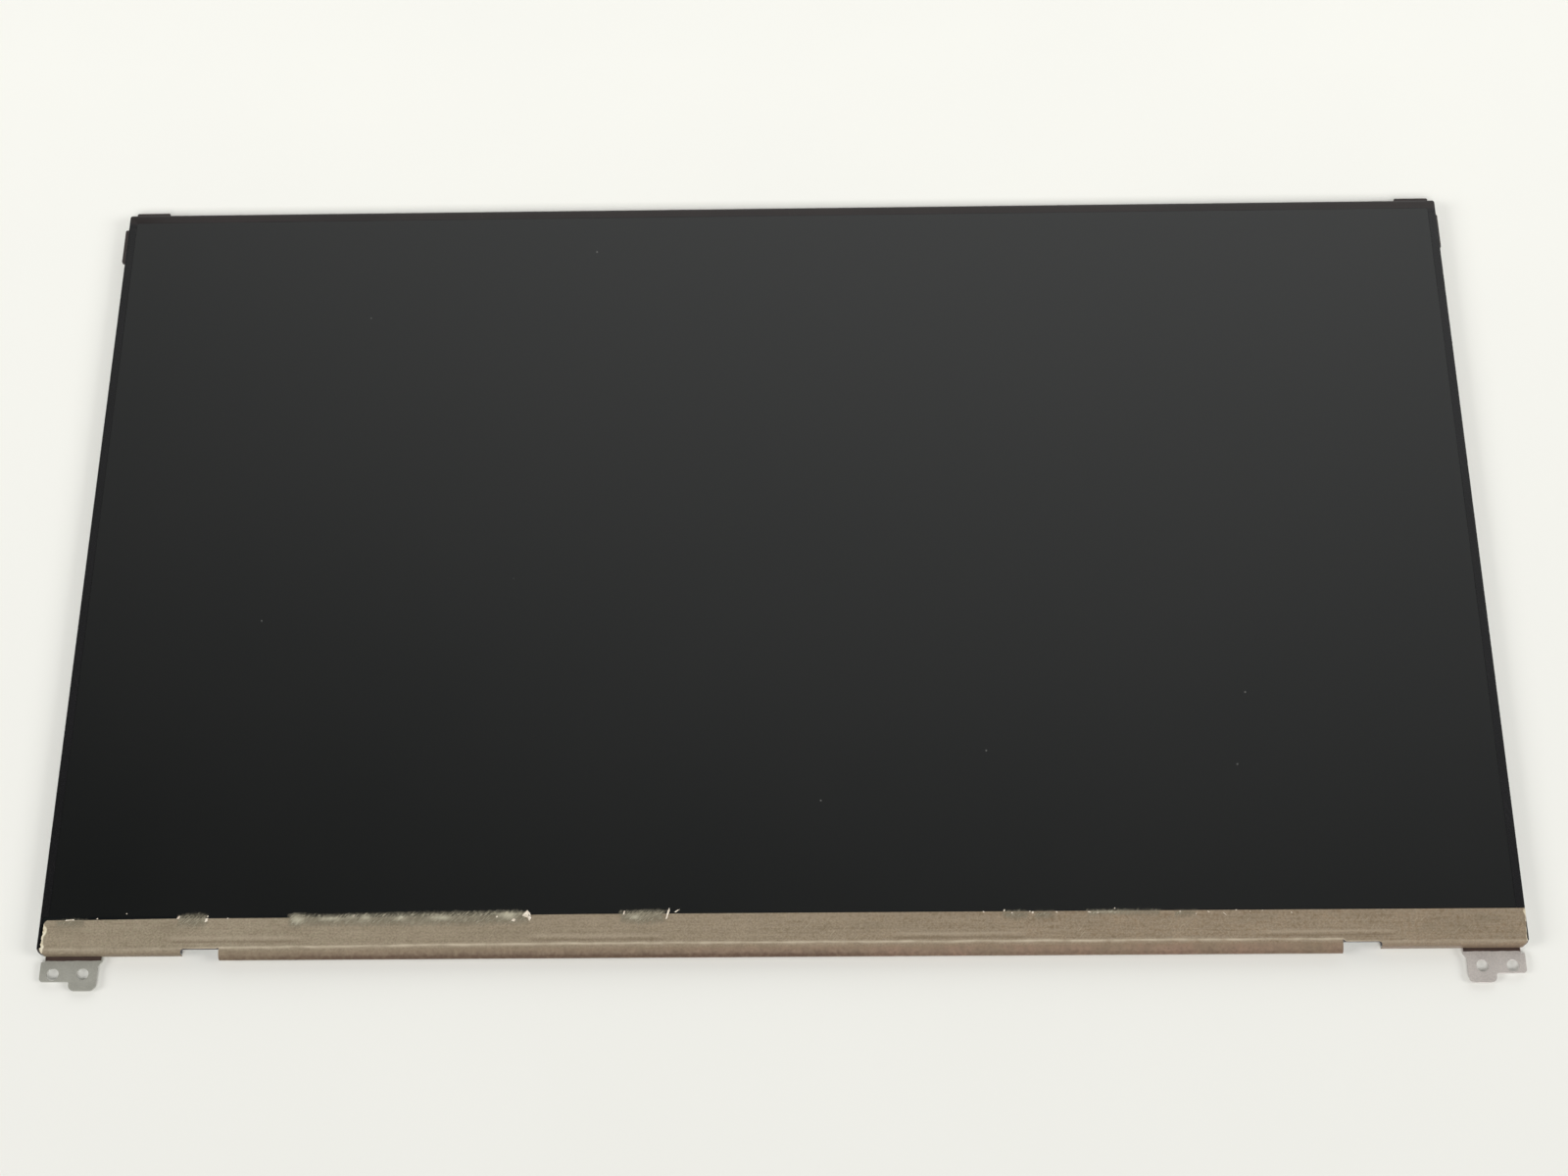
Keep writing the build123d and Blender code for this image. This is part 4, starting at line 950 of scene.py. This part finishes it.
def new_tree(name, **inputs):
    """An empty geometry tree with named inputs, its way in and its way out."""
    tree = Bench.tree = bpy.data.node_groups.new(name, "GeometryNodeTree")
    tree.interface.new_socket("Geometry", in_out="INPUT", socket_type="NodeSocketGeometry")
    for socket, kind in inputs.items():
        tree.interface.new_socket(socket, in_out="INPUT", socket_type="NodeSocket" + kind)
    tree.interface.new_socket("Geometry", in_out="OUTPUT", socket_type="NodeSocketGeometry")
    return tree, add("NodeGroupInput"), tree.nodes.new("NodeGroupOutput").inputs


def end_tree(copies, finish, way_out):
    """Ends a geometry tree: its copies become plain mesh and get their finish."""
    whole = add("GeometryNodeRealizeInstances", {0: copies[0]})[0]
    ended = add("GeometryNodeSetMaterial", {"Geometry": whole, "Material": finish})[0]
    Bench.tree.links.new(ended, way_out[0])


def grow(piece, tree, **values):
    """Runs a geometry tree with its values on a piece and keeps the result as a plain mesh."""
    maker = piece.modifiers.new(tree.name, "NODES")
    maker.node_group = tree
    for socket in tree.interface.items_tree:
        if socket.in_out == "INPUT" and socket.name in values:
            maker[socket.identifier] = values[socket.name]
    settle(piece)


dots, given, way_out = new_tree(
    "dots", Count="Int", Pitch="Float", Radius="Float", Depth="Float", Finish="Material")
step = add("ShaderNodeCombineXYZ", {0: given["Pitch"]})[0]
row = add("GeometryNodeMeshLine", {"Count": given["Count"], "Offset": step})[0]
seat = add("GeometryNodeInstanceOnPoints", {"Points": given["Geometry"], "Instance": row})[0]
seat = add("GeometryNodeRealizeInstances", {0: seat})[0]
disc = add("GeometryNodeMeshCylinder", {
    "Vertices": 16, "Radius": given["Radius"], "Depth": given["Depth"]})[0]
spots = add("GeometryNodeInstanceOnPoints", {"Points": seat, "Instance": disc})
end_tree(spots, given["Finish"], way_out)

board_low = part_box("control_board")[0].z / MM
first_pad = (*PAD_ROW, board_low - PAD_DEPTH / 2)
test_pads = new_piece("test_pads", [first_pad], [], contact_metal)
grow(test_pads, dots, Count=PAD_COUNT, Pitch=PAD_PITCH * MM, Radius=PAD_RADIUS * MM,
     Depth=PAD_DEPTH * MM, Finish=contact_metal)


# Soldered parts: moulded chips on rows of tinned leads, two ferrite inductors, and small ceramic
# capacitors and film resistors with tinned ends.
CHIPS_ON_BOARD = ("timing_controller", "memory_chip", "power_chip", "backlight_driver")
chip_plastic = clouded("chip_plastic", (24, 24, 25), (40, 40, 41), (0.45, 0.62), 0.14, depth=0.008)
dress(chip_plastic, *CHIPS_ON_BOARD)
inductor_ferrite = clouded("inductor_ferrite", (52, 50, 50), (76, 74, 72), (0.5, 0.7), 0.2, 4.0, depth=0.02)
dress(inductor_ferrite, "inductors")
dress(clouded("capacitor_ceramic", (146, 112, 78), (168, 134, 98), (0.3, 0.45), 0.25), "capacitors")
dress(clouded("resistor_body", (20, 20, 22), (40, 40, 42), (0.3, 0.45), 0.25), "resistors")
tinned = clouded(
    "tinned_ends", (176, 176, 172), (204, 204, 200), (0.28, 0.45), 0.25, depth=0.01, Metallic=1.0)


def solids(name):
    """The middle and the size of each separate solid in a node, in millimetres."""
    work = welded(nodes[name].data, 1e-6)
    waiting, found = set(work.verts), []
    while waiting:
        queue, spots = [waiting.pop()], []
        while queue:
            vertex = queue.pop()
            spots.append(vertex.co / MM)
            near = {edge.other_vert(vertex) for edge in vertex.link_edges} & waiting
            waiting -= near
            queue += near
        low, high = (Vector([pick(axis) for axis in zip(*spots)]) for pick in (min, max))
        found.append(((low + high) / 2, high - low))
    work.free()
    return sorted(found, key=lambda solid: tuple(solid[0]))


blocks, given, way_out = new_tree("blocks", Sharpness="Float", Finish="Material")
cube = add("GeometryNodeMeshCube")[0]
rounded = add("GeometryNodeSubdivisionSurface", {
    "Mesh": cube, "Level": 2, "Edge Crease": given["Sharpness"]})
size = add("GeometryNodeInputNamedAttribute", {"Name": "size"}, data_type="FLOAT_VECTOR")[0]
copies = add("GeometryNodeInstanceOnPoints", {
    "Points": given["Geometry"], "Instance": rounded[0], "Scale": size})
end_tree(copies, given["Finish"], way_out)


def tin_blocks(name, places, sizes):
    """One piece of rounded tinned blocks, each with its own middle and size in millimetres."""
    piece = new_piece(name, places, [], tinned)
    store = piece.data.attributes.new("size", "FLOAT_VECTOR", "POINT")
    store.data.foreach_set("vector", [side * MM for size in sizes for side in size])
    grow(piece, blocks, Sharpness=0.8, Finish=tinned)


END_SHARE, END_PROUD, FOOT_HEIGHT = 0.24, 0.03, 0.3
for name, slot in (("capacitors", "capacitor_ceramic"), ("resistors", "resistor_body"),
                   ("inductors", "inductor_ferrite")):
    places, sizes = [], []
    for middle, extent in solids(name):
        axis = 0 if extent.x >= extent.y else 1
        size = extent + Vector((END_PROUD, END_PROUD, END_PROUD))
        size[axis] = extent[axis] * END_SHARE
        for side in (-1, 1):
            spot = middle.copy()
            spot[axis] += side * (extent[axis] * (1 - END_SHARE) + END_PROUD) / 2
            if name == "inductors":
                spot.z, size.z = board_low - FOOT_HEIGHT / 2, FOOT_HEIGHT
            places.append(spot)
            sizes.append(size.copy())
    tin_blocks(name + "_ends", places, sizes)

LEAD_PITCH, LEAD_WIDTH, LEAD_REACH, LEAD_DEPTH, BARE_ENDS = 0.5, 0.24, 0.34, 0.1, 0.6
places, sizes = [], []
for name in CHIPS_ON_BOARD:
    for middle, extent in solids(name):
        for axis in (0, 1):
            count = int((extent[axis] - BARE_ENDS) / LEAD_PITCH)
            for number in range(count + 1):
                along = (number - count / 2) * LEAD_PITCH
                for side in (-1, 1):
                    spot = middle.copy()
                    spot[axis] += along
                    spot[1 - axis] += side * extent[1 - axis] / 2
                    spot.z = board_low - LEAD_DEPTH / 2
                    size = Vector((LEAD_REACH, LEAD_REACH, LEAD_DEPTH))
                    size[axis] = LEAD_WIDTH
                    places.append(spot)
                    sizes.append(size)
tin_blocks("chip_leads", places, sizes)


# Board sockets: a low socket of pale plastic for the light bar's tail, and the cable connector, a pale
# moulded tongue with gilt contacts inside a folded steel shell.
socket_plastic = clouded("socket_plastic", (206, 198, 178), (222, 215, 198), (0.42, 0.56), 0.3, depth=0.006)
dress(socket_plastic, "light_bar_socket", "connector_housing")

shell_steel = new_material("shell_steel", Metallic=1.0)
drawn = streaks(6.0, 0.06)
colour = mix(drawn, (184, 184, 182), (206, 206, 203))
surface(colour, spread(drawn, 0.2, 0.34), drawn, 0.004)
dress(shell_steel, "connector_shell")
dress(contact_metal, "connector_contacts")


# Stage: a plain pale table under the panel with painted shade that darkens it towards the front, soft
# light from both sides and a broad glow from behind, and the camera above the lower edge, looking down at the
# screen.
TABLE_Z, TABLE_REACH = cad_box[0].z, 8.0
table_pale = new_material("table_pale", Roughness=0.6, Specular_IOR_Level=0.2)
paper = cloud(60.0, 3.0)
# Painted shade: the table is darker towards the front and paler towards the back.
painted_light_farther = spread(axes(place())[1], 0.0, 1.0, -140.0, 140.0)
pale = mix(painted_light_farther, (233, 232, 226), (250, 249, 242))
feed("Base Color", tint(pale, paper, 0.2, (240, 239, 234)))
tree = table_pale.node_tree
shader = tree.nodes["Principled BSDF"].outputs[0]
clear = add("ShaderNodeBsdfTransparent")[0]
behind = add("ShaderNodeNewGeometry")["Backfacing"]
seen = add("ShaderNodeMixShader", {0: behind, 1: shader, 2: clear})[0]
tree.links.new(seen, tree.nodes["Material Output"].inputs["Surface"])
mesh = bpy.data.meshes.new("table")
corners = [(x * TABLE_REACH, y * TABLE_REACH, TABLE_Z) for x, y in ((-1, -1), (1, -1), (1, 1), (-1, 1))]
mesh.from_pydata(corners, [], [(0, 1, 2, 3)])
mesh.materials.append(table_pale)
table = show("table", mesh)
table.visible_diffuse = table.visible_glossy = table.visible_shadow = False


def softbox(name, spot, size, power):
    """A square soft light aimed at the panel."""
    lamp = bpy.data.lights.new(name, "AREA")
    lamp.size = size
    lamp.energy = power
    holder = show(name, lamp)
    holder.location = spot
    holder.rotation_euler = (-Vector(spot)).to_track_quat("-Z", "Y").to_euler()


softbox("left_light", (-3.0, -0.8, 2.0), 1.6, 50.0)
softbox("right_light", (3.0, -0.8, 2.0), 1.6, 50.0)
softbox("front_light", (0.0, -5.0, 5.5), 3.0, 290.0)
softbox("low_light", (0.5, -0.6, -0.9), 0.9, 4.0)

world = bpy.data.worlds.new("studio")
bpy.context.scene.world = world
world.use_nodes = True
tree = Bench.tree = world.node_tree
direction = add("ShaderNodeTexCoord")["Generated"]
GLOW_PEAK, GLOW_REACH, GLOW_FROM = 2.2, math.radians(54), Vector((0.13, 0.925, 0.375)).normalized()
facing = add("ShaderNodeVectorMath", {0: direction, 1: GLOW_FROM}, operation="DOT_PRODUCT")
glow = spread(calc("ARCCOSINE", facing["Value"]), GLOW_PEAK, 0.0, 0.0, GLOW_REACH)
skyward = axes(direction)[2]
above = spread(skyward, 0.0, 1.0, -0.02, 0.05)
below = spread(skyward, 0.5, 0.35, -0.1, 0.0)
haze = calc("SUBTRACT", below, spread(skyward, 0.0, 0.32, 0.02, 0.5))
strength = calc("ADD", calc("MULTIPLY", glow, above), haze)
tree.links.new(strength, tree.nodes["Background"].inputs["Strength"])
tree.nodes["Background"].inputs["Color"].default_value = (0.985, 1.0, 0.99, 1.0)

FOCAL, IMAGE_WIDTH, SENSOR = 2584.8, 1600, 36.0
CAMERA_PLACE, CAMERA_TURNS = (12.588, -249.688, 519.994), (-24.974, 1.261, 0.006)
camera = bpy.data.cameras.new("camera")
camera.sensor_fit = "HORIZONTAL"
camera.sensor_width = SENSOR
camera.lens = SENSOR * FOCAL / IMAGE_WIDTH
camera.clip_start, camera.clip_end = 0.01, 20.0
viewer = show("camera", camera)
pitch, roll, yaw = (math.radians(angle) for angle in CAMERA_TURNS)
flip = Matrix.Diagonal((1, -1, -1))
sight = Matrix.Rotation(yaw, 3, "Z") @ Matrix.Rotation(pitch, 3, "X") @ Matrix.Rotation(roll, 3, "Y") @ flip
at = Matrix.Translation(Vector(CAMERA_PLACE) * MM)
viewer.matrix_world = at @ (sight.transposed() @ flip).to_4x4()
bpy.context.scene.camera = viewer
bpy.context.scene.view_settings.view_transform = "Standard"
